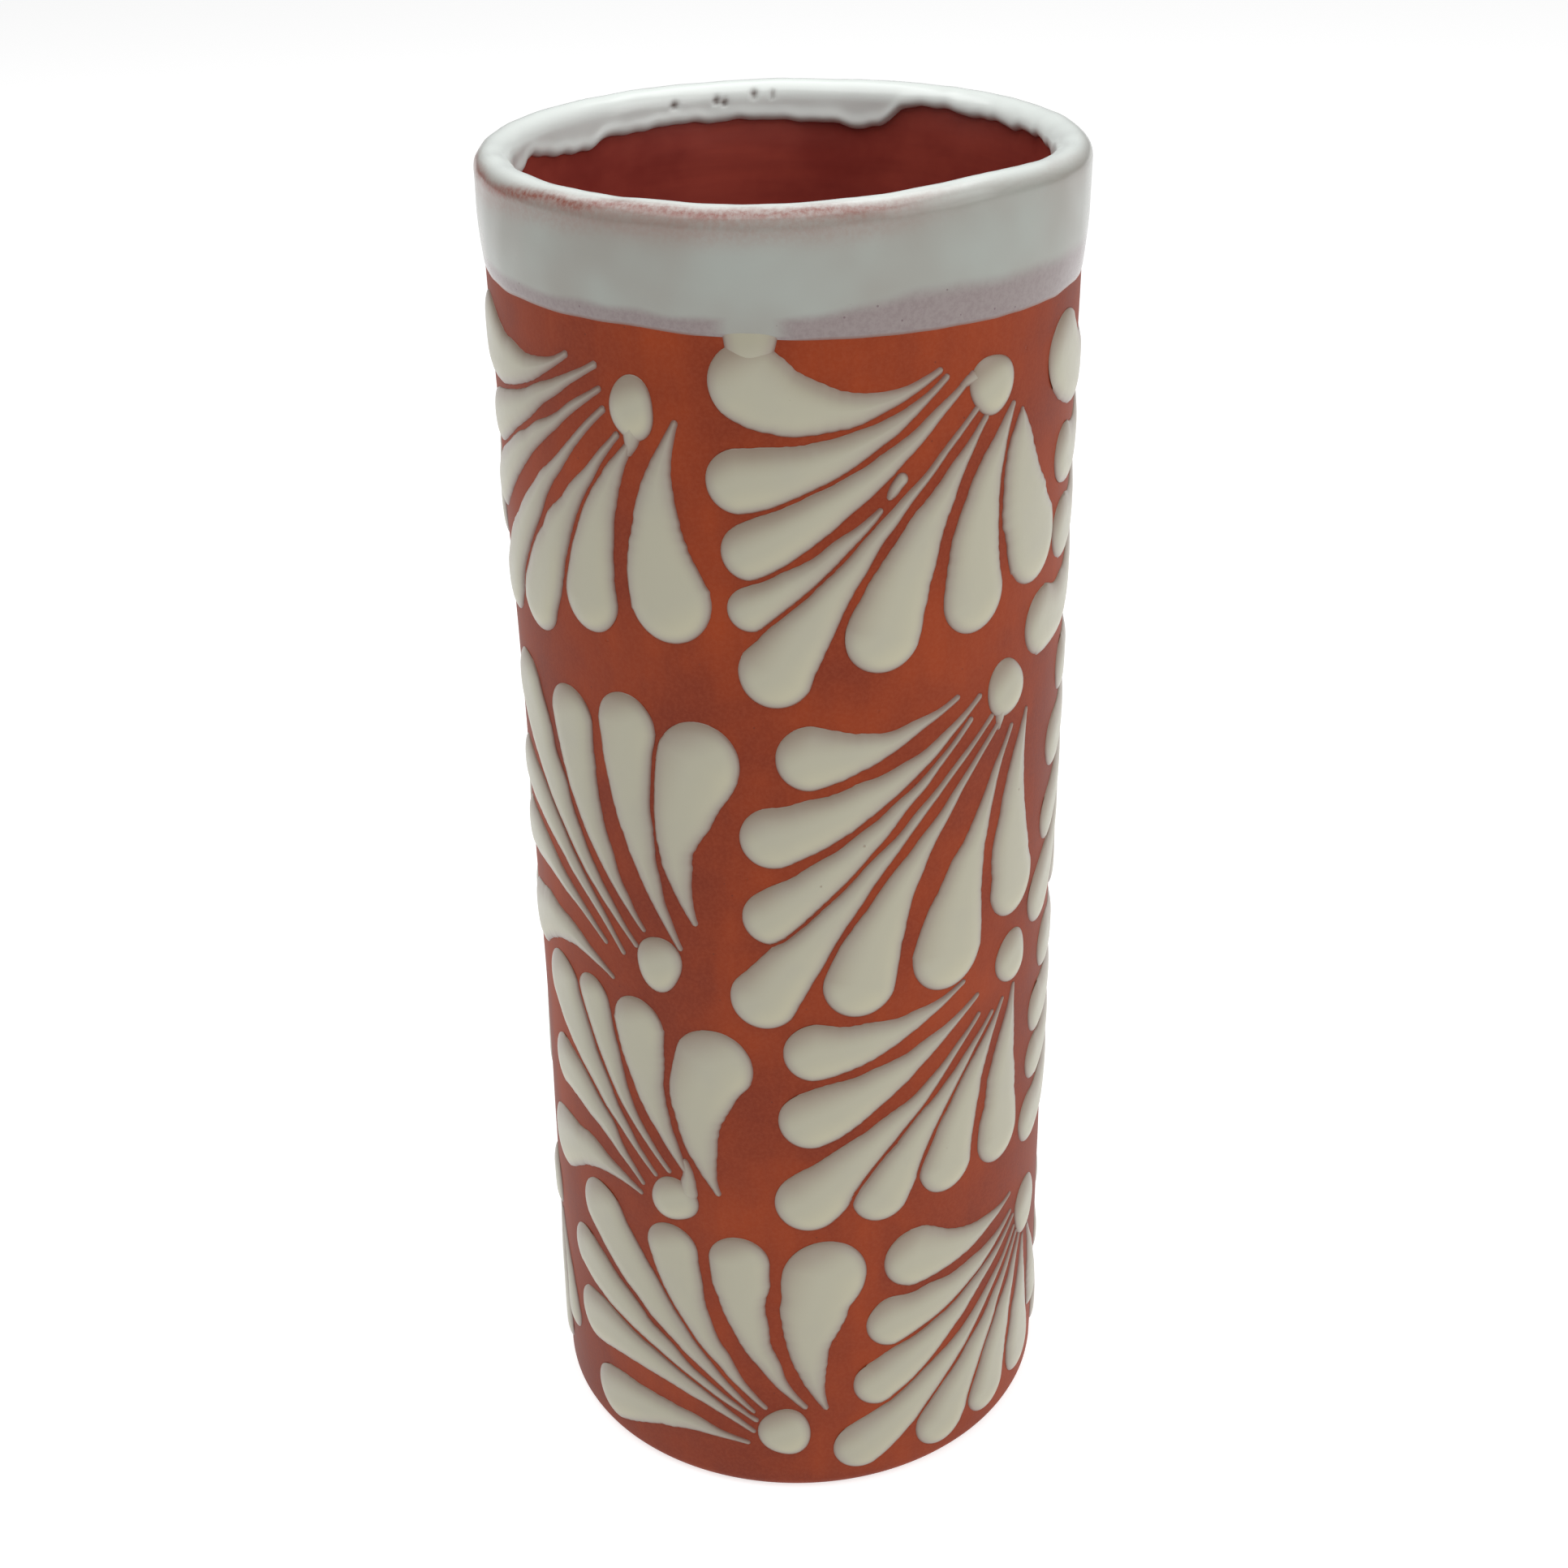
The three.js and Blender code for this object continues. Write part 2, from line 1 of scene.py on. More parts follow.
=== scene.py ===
# %% [markdown]
# # A talavera vase: red clay, white dipped rim, fans of raised slip
# The vase is a hand-formed cup of red clay. Its lip was dipped in white glaze, its inside was lined with a
# clear one, and slip (liquid clay) was squeezed onto the wall in teardrop strokes, gathered in fans under
# round dots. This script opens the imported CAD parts, which fix every size, and lays a finished surface over
# each of them: a fine clay wall, glazes with soft uneven edges, and every stroke as a drop of its own.

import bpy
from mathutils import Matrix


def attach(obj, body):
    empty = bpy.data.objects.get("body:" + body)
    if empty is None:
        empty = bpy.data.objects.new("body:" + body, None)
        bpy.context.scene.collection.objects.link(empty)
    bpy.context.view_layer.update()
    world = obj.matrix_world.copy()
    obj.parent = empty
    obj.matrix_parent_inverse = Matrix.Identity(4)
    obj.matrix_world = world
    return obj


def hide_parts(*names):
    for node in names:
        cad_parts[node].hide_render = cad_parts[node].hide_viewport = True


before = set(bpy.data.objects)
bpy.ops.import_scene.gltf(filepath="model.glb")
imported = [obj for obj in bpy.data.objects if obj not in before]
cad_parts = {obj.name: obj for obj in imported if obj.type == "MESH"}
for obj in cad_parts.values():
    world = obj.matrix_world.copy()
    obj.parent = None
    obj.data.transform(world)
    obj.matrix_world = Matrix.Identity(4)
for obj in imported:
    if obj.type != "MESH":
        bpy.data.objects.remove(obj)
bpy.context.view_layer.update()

import math

import bpy
import numpy as np
from mathutils import Matrix

# %% [markdown]
# ## Sizes
# A potter thinks in millimetres, and so does this script: every shape is worked out in millimetres and is
# turned to metres only when it becomes a mesh. The sizes have the same names and values as in the CAD part.

# %% Sizes of the pot, in millimetres
MM = 0.001
HEIGHT = 200.0                              # base to the glazed lip, where it is level
FOOT_RADIUS, LIP_RADIUS = 38.9, 39.4        # clay, outside
LEAN = 1.6                                  # how far the lip stands out over the foot, towards +X
WAIST_DEPTH = 0.35                          # how far the wall draws in at mid height
OVALNESS, OVAL_ANGLE = 0.2, math.radians(60)
LIP_DIP, LIP_HIGH_ANGLE = 0.5, math.radians(210)
LIP_HUMP, LIP_HUMP_ANGLE, LIP_HUMP_WIDTH = 1.1, math.radians(38), math.radians(24)
LIP_WALL, WALL, WALL_TAPER = 3.5, 4.6, 45.0  # clay thickness at the lip, below it, and the height between
FLOOR, FLOOR_CORNER, FOOT_EDGE = 7.0, 9.0, 1.8
GLAZE = 0.8                                 # white glaze on the lip, from the clay to its outer face
RIM_DROP, RIM_TILT = 15.9, 1.0              # how far it reaches down outside, and how unlevel it is
LINING, LINING_DROP = 0.3, 2.2              # clear glaze inside, and how far it stays below the lip
FILM_BACK = 0.15                            # how far the back of a glaze film lies inside the clay

# %% [markdown]
# ## Soft noise
# Nothing hand-made is even. A cheap way to get smooth unevenness is to add up a few sine waves that run in
# different directions. It has no seams, because it is a function of the place in space, and a fixed seed
# gives the same pot each time.


# %% Soft noise in space
def soft_noise(points, size, seed, waves=14):
    """Smooth noise, about -1 to 1: the sum of sines whose wave vectors point every way, with wave lengths
    from 0.7 to 1.6 times size, divided by the square root of half their number."""
    rng = np.random.default_rng(seed)
    directions = rng.normal(size=(waves, 3))
    directions /= np.linalg.norm(directions, axis=1, keepdims=True)
    lengths = size * rng.uniform(0.7, 1.6, size=(waves, 1))
    phases = rng.uniform(0, 2 * np.pi, size=waves)
    angles = points @ (directions * 2 * np.pi / lengths).T + phases
    return np.sin(angles).sum(axis=-1) / math.sqrt(waves / 2) / 1.6


def smooth_step(x, low, high):
    """0 below low, 1 above high, and 3x^2 - 2x^3 between."""
    part = np.clip((x - low) / (high - low), 0, 1)
    return part * part * (3 - 2 * part)


def polar(radius, height, angle):
    """Points at a radius, height and angle round the leaning axis: angle 0 faces -Y and grows towards +X,
    and the axis moves by LEAN towards +X from foot to lip."""
    axis_x = LEAN * (height / HEIGHT - 0.5)
    parts = np.broadcast_arrays(axis_x + radius * np.sin(angle), -radius * np.cos(angle), height)
    return np.stack(parts, axis=-1)


# %% [markdown]
# ## The shape of the wall
# The pot is close to a cylinder, but it was formed by hand: it is drawn in a little at mid height, its
# mouth is slightly oval and dips to one side, and its surface swells and sinks by a tenth of a millimetre.
# Every other piece is laid on this one wall, so the wall is a function that they all call.


# %% Wall, lip and inside as functions
def lip_height(angle):
    """Height of the clay lip's crown: the pot's height less the glaze, dipping on one side as a cosine,
    plus one low hump that falls off as a bell curve."""
    dip = LIP_DIP * (1 - np.cos(angle - LIP_HIGH_ANGLE)) / 2
    nearness = (np.cos(angle - LIP_HUMP_ANGLE) - 1) * 2 / LIP_HUMP_WIDTH**2
    return HEIGHT - GLAZE - dip + LIP_HUMP * np.exp(nearness)


def wall_relief(height, angle):
    """Swells left by the hand: broad ones of 0.12 mm and small ones of 0.03 mm."""
    places = polar(FOOT_RADIUS, height, angle)
    return 0.12 * soft_noise(places, 55, 3) + 0.03 * soft_noise(places, 14, 5)


def outside_radius(height, angle):
    """Cone between foot and lip, less a waist that goes as sine squared of the height, plus an oval that
    grows upwards as cosine of twice the angle, less the quarter circle of the worn foot edge."""
    rise = height / HEIGHT
    cone = FOOT_RADIUS + (LIP_RADIUS - FOOT_RADIUS) * rise
    waist = WAIST_DEPTH * np.sin(np.pi * rise) ** 2
    oval = OVALNESS * rise * np.cos(2 * (angle - OVAL_ANGLE))
    over_edge = np.clip(FOOT_EDGE - height, 0, FOOT_EDGE)
    edge = FOOT_EDGE - np.sqrt(FOOT_EDGE**2 - over_edge**2)
    return cone - waist + oval - edge


def inside_radius(height, angle):
    """Outside radius less the wall, which is LIP_WALL thick at the lip and WALL thick below WALL_TAPER."""
    depth = lip_height(angle) - height
    thickness = LIP_WALL + (WALL - LIP_WALL) * smooth_step(depth, 0, WALL_TAPER)
    return outside_radius(height, angle) - thickness


def over_lip(angle, walk, lift):
    """Radius and height at a walk over the lip from its crown, negative outside and positive inside: a
    half circle of LIP_WALL across, then straight down either wall. lift moves the point off the clay."""
    half = LIP_WALL / 2
    quarter = half * np.pi / 2
    beyond = np.maximum(np.abs(walk) - quarter, 0)
    height = lip_height(angle) - half - beyond
    outer, inner = outside_radius(height, angle), inside_radius(height, angle)
    turn = np.clip(walk / half, -np.pi / 2, np.pi / 2)
    radius = (outer + inner) / 2 - ((outer - inner) / 2 + lift) * np.sin(turn)
    return radius, height + (half + lift) * np.cos(turn)


def inner_corner(angle, part, lift):
    """Quarter circle of FLOOR_CORNER from the inside wall (part 0) to the floor (part 1)."""
    centre_height = FLOOR + FLOOR_CORNER
    centre_radius = inside_radius(centre_height, angle) - FLOOR_CORNER
    turn = part * np.pi / 2
    reach = FLOOR_CORNER - lift
    return centre_radius + reach * np.cos(turn), centre_height - reach * np.sin(turn)


print("clay lip between", lip_height(LIP_HIGH_ANGLE + np.pi), "and", lip_height(LIP_HIGH_ANGLE), "mm high")

# %% [markdown]
# ## From rows of points to a mesh
# Every surface here is a stack of rings. Joining each ring to the next with four-sided faces gives a tube.
# A pot, a drop of slip and a film of glaze are all such tubes: the pot and the drop close on a point at
# each end, and the film's last ring joins its first, like a tyre.


# %% Rings to mesh
def ring_faces(rows, side, wrap):
    """Corner numbers of the faces between rows of rings with side points each; wrap joins last to first."""
    row, k = np.meshgrid(np.arange(rows if wrap else rows - 1), np.arange(side), indexing="ij")
    beside = (k + 1) % side
    above = (row + 1) % rows
    quads = np.stack([row * side + k, row * side + beside, above * side + beside, above * side + k], axis=-1)
    return quads.reshape(-1, 4)


def closed_skin(rings, start=None, end=None):
    """Points and faces of one closed skin through rings, an array (rows, side, 3), with end points to
    close on, or the last ring joined to the first. The faces are arrays, squares apart from triangles."""
    rows, side, _ = rings.shape
    points = rings.reshape(-1, 3)
    faces = [ring_faces(rows, side, wrap=start is None)]
    if start is not None:
        points = np.vstack([points, start, end])
        k = np.arange(side)
        first, last, top = len(points) - 2, len(points) - 1, (rows - 1) * side
        faces.append(np.stack([np.full(side, first), (k + 1) % side, k], axis=1))
        faces.append(np.stack([np.full(side, last), top + k, top + (k + 1) % side], axis=1))
    return points, faces


def make_piece(name, skins, material, nodes, attributes=None):
    """One object from a list of skins in millimetres, riding on the body and standing for CAD nodes."""
    points = np.vstack([points for points, _ in skins]) * MM
    starts = np.cumsum([0] + [len(points) for points, _ in skins])
    faces = []
    for (_, parts), start in zip(skins, starts):
        for corners in parts:
            faces += (corners + start).tolist()
    mesh = bpy.data.meshes.new(name)
    mesh.from_pydata(points, [], faces)
    mesh.polygons.foreach_set("use_smooth", np.ones(len(mesh.polygons), dtype=bool))
    for key, values in (attributes or {}).items():
        mesh.attributes.new(key, "FLOAT", "POINT").data.foreach_set("value", np.concatenate(values))
    mesh.materials.append(material)
    mesh.update()
    piece = bpy.data.objects.new(name, mesh)
    bpy.context.scene.collection.objects.link(piece)
    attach(piece, "root")
    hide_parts(*nodes)
    return piece


# %% [markdown]
# ## Writing materials as sums
# A shader graph is arithmetic with wires. Wrapping each socket in a small class lets Python's own + and *
# add the Math nodes, so that a material reads like the sentence that describes it.


# %% Sockets that add up
class Wire:
    """An output socket that takes part in Python arithmetic."""

    def __init__(self, shader, socket):
        self.shader, self.socket = shader, socket

    def _math(self, operation, *values):
        return self.shader.node("ShaderNodeMath", {"operation": operation}, values)

    def __add__(self, other):
        return self._math("ADD", self, other)

    def __sub__(self, other):
        return self._math("SUBTRACT", self, other)

    def __rsub__(self, other):
        return self._math("SUBTRACT", other, self)

    def __mul__(self, other):
        return self._math("MULTIPLY", self, other)

    __radd__, __rmul__ = __add__, __mul__

    def to(self, low, high):
        """0 where this value is under low, 1 over high, eased between."""
        settings = {"clamp": True, "interpolation_type": "SMOOTHSTEP"}
        values = {"Value": self, "From Min": low, "From Max": high}
        return self.shader.node("ShaderNodeMapRange", settings, values)


class Shader:
    """A material with one Principled shader, and the few kinds of node that this pot's finishes use."""

    def __init__(self, name, **fixed):
        self.material = bpy.data.materials.new(name)
        self.material.use_nodes = True
        self.tree = self.material.node_tree
        self.tree.nodes.clear()
        self.surface = self.tree.nodes.new("ShaderNodeBsdfPrincipled")
        output = self.tree.nodes.new("ShaderNodeOutputMaterial")
        self.tree.links.new(self.surface.outputs["BSDF"], output.inputs["Surface"])
        for socket, value in fixed.items():
            self.surface.inputs[socket.replace("_", " ")].default_value = value
        self.place = self.node("ShaderNodeTexCoord", {}, {}, "Object")

    def node(self, kind, settings, values, output=0):
        """Adds a node, its settings first, then a value or a link for each socket."""
        node = self.tree.nodes.new(kind)
        for key, value in settings.items():
            setattr(node, key, value)
        pairs = values.items() if isinstance(values, dict) else enumerate(values)
        for key, value in pairs:
            if isinstance(value, Wire):
                self.tree.links.new(value.socket, node.inputs[key])
            else:
                node.inputs[key].default_value = value
        return Wire(self, node.outputs[output])

    def noise(self, size, detail=3, rough=0.5, stretch=(1, 1, 1)):
        """Noise, 0 to 1, whose blots are about size millimetres, stretched along an axis if asked."""
        scale = [1 / (size * MM * part) for part in stretch]
        place = self.node("ShaderNodeMapping", {}, {"Vector": self.place, "Scale": scale})
        values = {"Vector": place, "Scale": 1.0, "Detail": detail, "Roughness": rough}
        return self.node("ShaderNodeTexNoise", {}, values)

    def specks(self, size, radius):
        """1 inside round specks of radius, one in each cell of size, both in millimetres; 0 outside."""
        values = {"Vector": self.place, "Scale": 1 / (size * MM)}
        distance = self.node("ShaderNodeTexVoronoi", {"feature": "F1"}, values, "Distance")
        return 1 - distance.to(0.6 * radius / size, radius / size)

    def attribute(self, name):
        """A number that the mesh carries at each point."""
        return self.node("ShaderNodeAttribute", {"attribute_name": name}, {}, "Fac")

    def mix(self, factor, first, second):
        """Colour first where factor is 0, second where it is 1."""
        values = {"Factor": factor, 6: first, 7: second}
        return self.node("ShaderNodeMix", {"data_type": "RGBA"}, values, 2)

    def bump(self, height, depth):
        """Bump of a height of 0 to 1, depth millimetres deep."""
        values = {"Height": height, "Distance": depth * MM, "Strength": 1.0}
        return self.node("ShaderNodeBump", {}, values)

    def finish(self, **links):
        """Links what changes over the surface to the Principled shader's sockets of that name."""
        for socket, wire in links.items():
            self.tree.links.new(wire.socket, self.surface.inputs[socket.replace("_", " ")])
        return self.material


def colour(red, green, blue):
    """A colour as a person reads it from a swatch, 0 to 255, made linear for the shader."""
    parts = [part / 255 for part in (red, green, blue)]
    linear = [part / 12.92 if part <= 0.04045 else ((part + 0.055) / 1.055) ** 2.4 for part in parts]
    return (*linear, 1)


# %% [markdown]
# ## Red clay
# The clay is low-fired and iron red. It was smoothed with a wet hand while soft and rubbed when leather
# hard, so it has a satin sheen, faint streaks along the wiping, and a mottling of paler and darker red. A
# few pinholes and dark grains break the surface. Noise in space gives the mottling and stays seamless.


# %% Clay finish
def clay_finish():
    shader = Shader("red_clay", IOR=1.28)
    cloud = shader.noise(26, detail=4, rough=0.6)
    streak = shader.noise(5, detail=4, rough=0.6, stretch=(1, 1, 7))
    grain = shader.noise(0.5, detail=3, rough=0.7)
    base = shader.mix(cloud.to(0.32, 0.68), colour(122, 42, 14), colour(151, 58, 17))
    streaked = shader.mix(streak.to(0.3, 0.75) * 0.35, base, colour(112, 38, 16))
    grains = shader.specks(3.1, 0.16)
    pits = shader.specks(7.7, 0.28)
    speckled = shader.mix(grains * 0.5, streaked, colour(66, 28, 22))
    tint = shader.mix(grain.to(0.35, 0.7) * 0.18, speckled, colour(164, 84, 56))
    rough = 0.42 + 0.16 * cloud + 0.1 * grain
    skin = shader.bump(grain * 0.5 + streak * 0.5 - pits * 1.5, 0.045)
    return shader.finish(Base_Color=tint, Roughness=rough, Normal=skin)


# %% [markdown]
# ## Cream slip under clear glaze
# Slip is off-white and the glaze over it is glossy. Where a stroke is thick it is a warm cream. Where it
# thins, at its rim and along its tail, the red clay shows through as a pinkish grey. Each drop sagged a
# little before it set, so it is thinner along its upper left side and pooled low down; on top of that the
# upper left side is painted darker and greyer, a painted shade away from the light from the right and
# from the floor, and the lower part is painted creamier, a painted light from below. The mesh carries
# both, thickness and shade, as attributes, so the colour follows the real shape.


# %% Slip finish
def slip_finish():
    shader = Shader("cream_slip", IOR=1.5)
    depth = shader.attribute("thickness")
    shade = shader.attribute("shade")
    cloud = shader.noise(7, detail=3)
    fine = shader.noise(0.9, detail=3, rough=0.6)
    thin = shader.mix(depth.to(0.02, 0.5), colour(112, 72, 60), colour(158, 148, 134))
    thick = shader.mix(depth.to(0.4, 0.95), thin, colour(175, 171, 150))
    # Painted shade: greyer towards the upper left of a drop, away from the light; partly slip that ran
    # thinner there.
    shaded = shader.mix(shade.to(0.5, 1) * 0.9, thick, colour(145, 129, 113))
    # Painted light: creamier low down on thick slip, as lit from the floor below; partly slip that pooled
    # there.
    pooled_and_lit = shader.mix((1 - shade).to(0.5, 0.95) * depth.to(0.4, 0.9) * 0.6, shaded, colour(190, 184, 154))
    clouded = shader.mix(cloud.to(0.45, 0.8) * 0.22, pooled_and_lit, colour(162, 158, 148))
    pinholes = shader.specks(9.3, 0.22)
    dotted = shader.mix(pinholes * 0.45, clouded, colour(128, 98, 80))
    rough = 0.26 + 0.12 * fine
    skin = shader.bump(fine * 0.3 + cloud * 0.6 - pinholes, 0.05)
    return shader.finish(Base_Color=dotted, Roughness=rough, Normal=skin)


# %% [markdown]
# ## White dipped glaze
# The rim's glaze is thicker and whiter than the slip, cool grey-white with a glassy skin. It thins to lilac
# over a band at its lower edge, and along the corner of the lip the clay blushes through in pink specks. Four
# attributes of the mesh drive that: whiteness, blush, crown for painted light on top, and the pinholes.


# %% White glaze finish
def white_glaze_finish():
    shader = Shader("white_glaze", IOR=1.52)
    whiteness = shader.attribute("whiteness")
    blush = shader.attribute("blush")
    holes = shader.attribute("holes")
    cloud = shader.noise(15, detail=2, rough=0.5)
    fine = shader.noise(0.7, detail=4, rough=0.7)
    white = shader.mix(cloud.to(0.3, 0.7), colour(159, 163, 156), colour(150, 148, 140))
    lilac = shader.mix(fine.to(0.36, 0.66), colour(140, 128, 126), colour(132, 118, 117))
    edge = shader.mix(whiteness.to(0.0, 0.1), colour(124, 86, 76), lilac)
    body = shader.mix(whiteness.to(0.2, 0.75), edge, white)
    # Painted light: the top of the lip, where the overhead light falls, is painted near white.
    crown_lit = shader.mix(shader.attribute("crown"), body, colour(234, 240, 236))
    pinked = shader.mix(blush * (0.65 + 0.35 * fine.to(0.34, 0.66)), crown_lit, colour(140, 84, 72))
    specks = shader.specks(1.9, 0.17) * (1 - whiteness.to(0.35, 0.8))
    specked = shader.mix(specks * 0.7, pinked, colour(96, 72, 76))
    holed = shader.mix(holes, specked, colour(86, 60, 50))
    rough = 0.14 + 0.1 * fine
    skin = shader.bump(fine * 0.25 + cloud * 0.75, 0.05)
    return shader.finish(Base_Color=holed, Roughness=rough, Normal=skin)


# %% [markdown]
# ## Clear lining
# Inside, a clear glaze wets the clay to a deep, glossy brown red. A film this thin can't be told from what
# lies under it, so it is drawn as wet, dark red clay: smooth, with the mottling and the faint rings that
# the potter's fingers left inside.


# %% Lining finish
def lining_finish():
    shader = Shader("clear_lining", IOR=1.5)
    cloud = shader.noise(16, detail=4, rough=0.6)
    rings = shader.noise(3, detail=3, rough=0.6, stretch=(8, 8, 1))
    base = shader.mix(cloud.to(0.3, 0.7), colour(146, 58, 50), colour(172, 75, 62))
    ringed = shader.mix(rings.to(0.35, 0.75) * 0.3, base, colour(122, 49, 45))
    rough = 0.16 + 0.14 * cloud
    skin = shader.bump(rings * 0.6 + cloud * 0.4, 0.08)
    return shader.finish(Base_Color=ringed, Roughness=rough, Normal=skin)


CLAY_FINISH, SLIP_FINISH = clay_finish(), slip_finish()
WHITE_FINISH, LINING_FINISH = white_glaze_finish(), lining_finish()
print("finishes:", len(bpy.data.materials))

# %% [markdown]
# ## The clay cup
# The cup is one profile carried round the axis: out over the base, up the wall, over the lip, down inside
# and across the floor to the middle. A lathe would give a perfect circle, so instead each point of the
# profile asks the wall functions for its own radius, and the hand's swells come along.

# %% Clay cup
CUP_SIDES, RIM_SIDES, LINING_SIDES, DOT_SIDES = 420, 720, 360, 40   # points round each
WIRE_MARK, WIRE_PITCH = 0.25, 2.6           # depth and spacing of the cutting wire's arcs under the base


def round_angles(count):
    """Angles round the axis, evenly spaced, without the last that would repeat the first."""
    return np.arange(count) * 2 * np.pi / count


def base_rings(angle):
    """The flat base, from near the middle to its worn edge. The cutting wire left shallow arcs in it, sines
    of the distance from a point beside the pot, and they fade out towards the edge."""
    radius = (FOOT_RADIUS - FOOT_EDGE) * np.linspace(0.03, 1, 30)[:, None]
    x, y = radius * np.sin(angle), -radius * np.cos(angle)
    arcs = np.sin(2 * np.pi * np.hypot(x - 60, y + 35) / WIRE_PITCH) * 0.5 + 0.5
    inward = smooth_step(FOOT_RADIUS - FOOT_EDGE - radius, 0.5, 5)
    return polar(radius, WIRE_MARK * arcs * inward, angle)


def clay_cup():
    """The whole profile as rings, from the base out, up, over the lip and down to the floor's middle."""
    angle = round_angles(CUP_SIDES)[None, :]
    quarter = LIP_WALL * np.pi / 4
    lip_start = lip_height(angle) - LIP_WALL / 2
    edge = FOOT_EDGE * (1 - np.cos(np.linspace(0, np.pi / 2, 7)))[1:, None] + 0 * angle
    wall = FOOT_EDGE + (lip_start - FOOT_EDGE) * np.linspace(0, 1, 90)[1:, None]
    outside = np.vstack([edge, wall])
    relief = wall_relief(outside, angle) * smooth_step(outside, 0.5, 4) * smooth_step(HEIGHT - outside, 3, 12)
    outer_rings = polar(outside_radius(outside, angle) + relief, outside, angle)
    lip_radius, lip_level = over_lip(angle, np.linspace(-quarter, quarter, 17)[1:, None], 0)
    corner_top = FLOOR + FLOOR_CORNER
    inside = lip_start + (corner_top - lip_start) * np.linspace(0, 1, 50)[1:-1, None]
    corner_radius, corner_level = inner_corner(angle, np.linspace(0, 1, 10)[:, None], 0)
    floor = corner_radius[-1:] * np.linspace(1, 0.04, 12)[1:, None]
    rings = np.concatenate([
        base_rings(angle), outer_rings, polar(lip_radius, lip_level, angle),
        polar(inside_radius(inside, angle), inside, angle), polar(corner_radius, corner_level, angle),
        polar(floor, np.full_like(floor, FLOOR), angle),
    ])
    return closed_skin(rings, [[0, 0, 0.1]], [[0, 0, FLOOR]])


cup = make_piece("clay_cup", [clay_cup()], CLAY_FINISH, ["clay_body"])
print("clay cup:", len(cup.data.vertices), "points")

# %% [markdown]
# ## The dipped rim
# The pot was dipped upside down, so the glaze's lower edge is a nearly level line, while inside it ran and
# crept back, leaving scallops and one stretch where it barely reaches over the lip. The film is one closed
# skin. Its thickness starts at nothing, swells to a soft bead and settles, so its edge catches the light.

# %% How far the white glaze reaches
# Angle in degrees and the walk in millimetres from the lip's crown to the glaze's inner edge there.
INNER_REACH = [
    [0, 6], [25, 5.2], [50, 6.2], [78, 4.8], [100, 3.2], [116, 3.6], [133, 3.2], [146, 2.9], [151, 3.6],
    [156, 6.4], [160, 6.9], [166, 6.2], [180, 6], [187, 5.4], [214, 5.6], [223, 5.6], [230, 6.7],
    [240, 6.6], [252, 4.6], [262, 6], [290, 6], [320, 4.8], [340, 5.8], [360, 6],
]
NECK_ANGLE, NECK_WIDTH = -0.11, 0.1         # in radians, where a stroke of slip ran into the white glaze
# Burst bubbles: angle in degrees, walk inwards from the crown and size in millimetres.
PINHOLES = [[205.5, 2.7, 1.2], [195.2, 2.6, 1.2], [193.3, 2.9, 1.1], [186.2, 2.1, 1.2], [181.8, 2.2, 0.8]]
PINHOLE_DEPTH = 0.55                        # part of the film's thickness that is missing in a pinhole


def inner_reach(angle):
    """Walk from the lip's crown to the glaze's inner edge: smooth between the listed places, with small
    scallops."""
    at, reach = np.array(INNER_REACH, dtype=float).T
    turn = np.degrees(angle) % 360
    fine = np.linspace(0, 360, 2161)
    level = np.interp(fine, at, reach)
    margin = 19
    kernel = np.hanning(margin)
    around = np.concatenate([level[-margin - 1 : -1], level, level[1 : margin + 1]])
    level = np.convolve(around, kernel / kernel.sum(), "same")[margin:-margin]
    scallops = soft_noise(polar(LIP_RADIUS, 0, angle), 4.5, 21)
    return np.interp(turn, fine, level) + 0.22 * scallops


def rim_edge_height(angle):
    """Height of the glaze's lower edge outside: a tilted line with a slow waver."""
    places = polar(LIP_RADIUS, 0, angle)
    waver = 0.25 * soft_noise(places, 30, 8) + 0.07 * soft_noise(places, 5, 9)
    return HEIGHT - RIM_DROP - RIM_TILT * np.sin(angle) + waver


# %% The film of white glaze
def film_thickness(from_outer, from_inner):
    """Thickness at a distance from each edge: outside it grows slowly as one minus a falling exponential,
    inside it rounds over like a quarter circle and swells into a bead."""
    outer = 0.05 + 0.95 * (1 - np.exp(-np.maximum(from_outer, 0) / 4.5))
    start = np.clip(from_outer / 0.5, 0, 1)
    rounded = np.sqrt(np.clip(1 - (1 - np.clip(from_inner / 0.9, 0, 1)) ** 2, 0, 1))
    bead = 1 + 0.25 * np.exp(-(((from_inner - 1.1) / 0.8) ** 2))
    return GLAZE * outer * np.sqrt(start) * rounded * bead


def pinhole_depth(angle, walk):
    """0 on sound glaze and 1 in the middle of a burst bubble, a bell curve that is narrower up and down."""
    depth = np.zeros_like(walk)
    for degrees, at, size in PINHOLES:
        away = np.hypot((angle - math.radians(degrees)) * LIP_RADIUS, 1.7 * (walk - at))
        depth = np.maximum(depth, np.exp(-((away / (0.5 * size)) ** 2)))
    return depth


def rim_blush(angle, walk, places):
    """Where clay shows through: a narrow bell curve along the corner of the lip and a wide, fainter one
    just outside it. Both are strong at the front left and weak elsewhere."""
    corner = walk + 1.3 + 0.9 * smooth_step(-np.sin(angle), 0.6, 1) + 0.3 * soft_noise(places, 9, 41)
    line = 0.85 * np.exp(-((corner / 0.55) ** 2)) + 0.4 * np.exp(-(((corner + 1.4) / 1.7) ** 2))
    return line * (0.15 + 0.85 * smooth_step(np.cos(angle + 0.75), 0.2, 0.7))


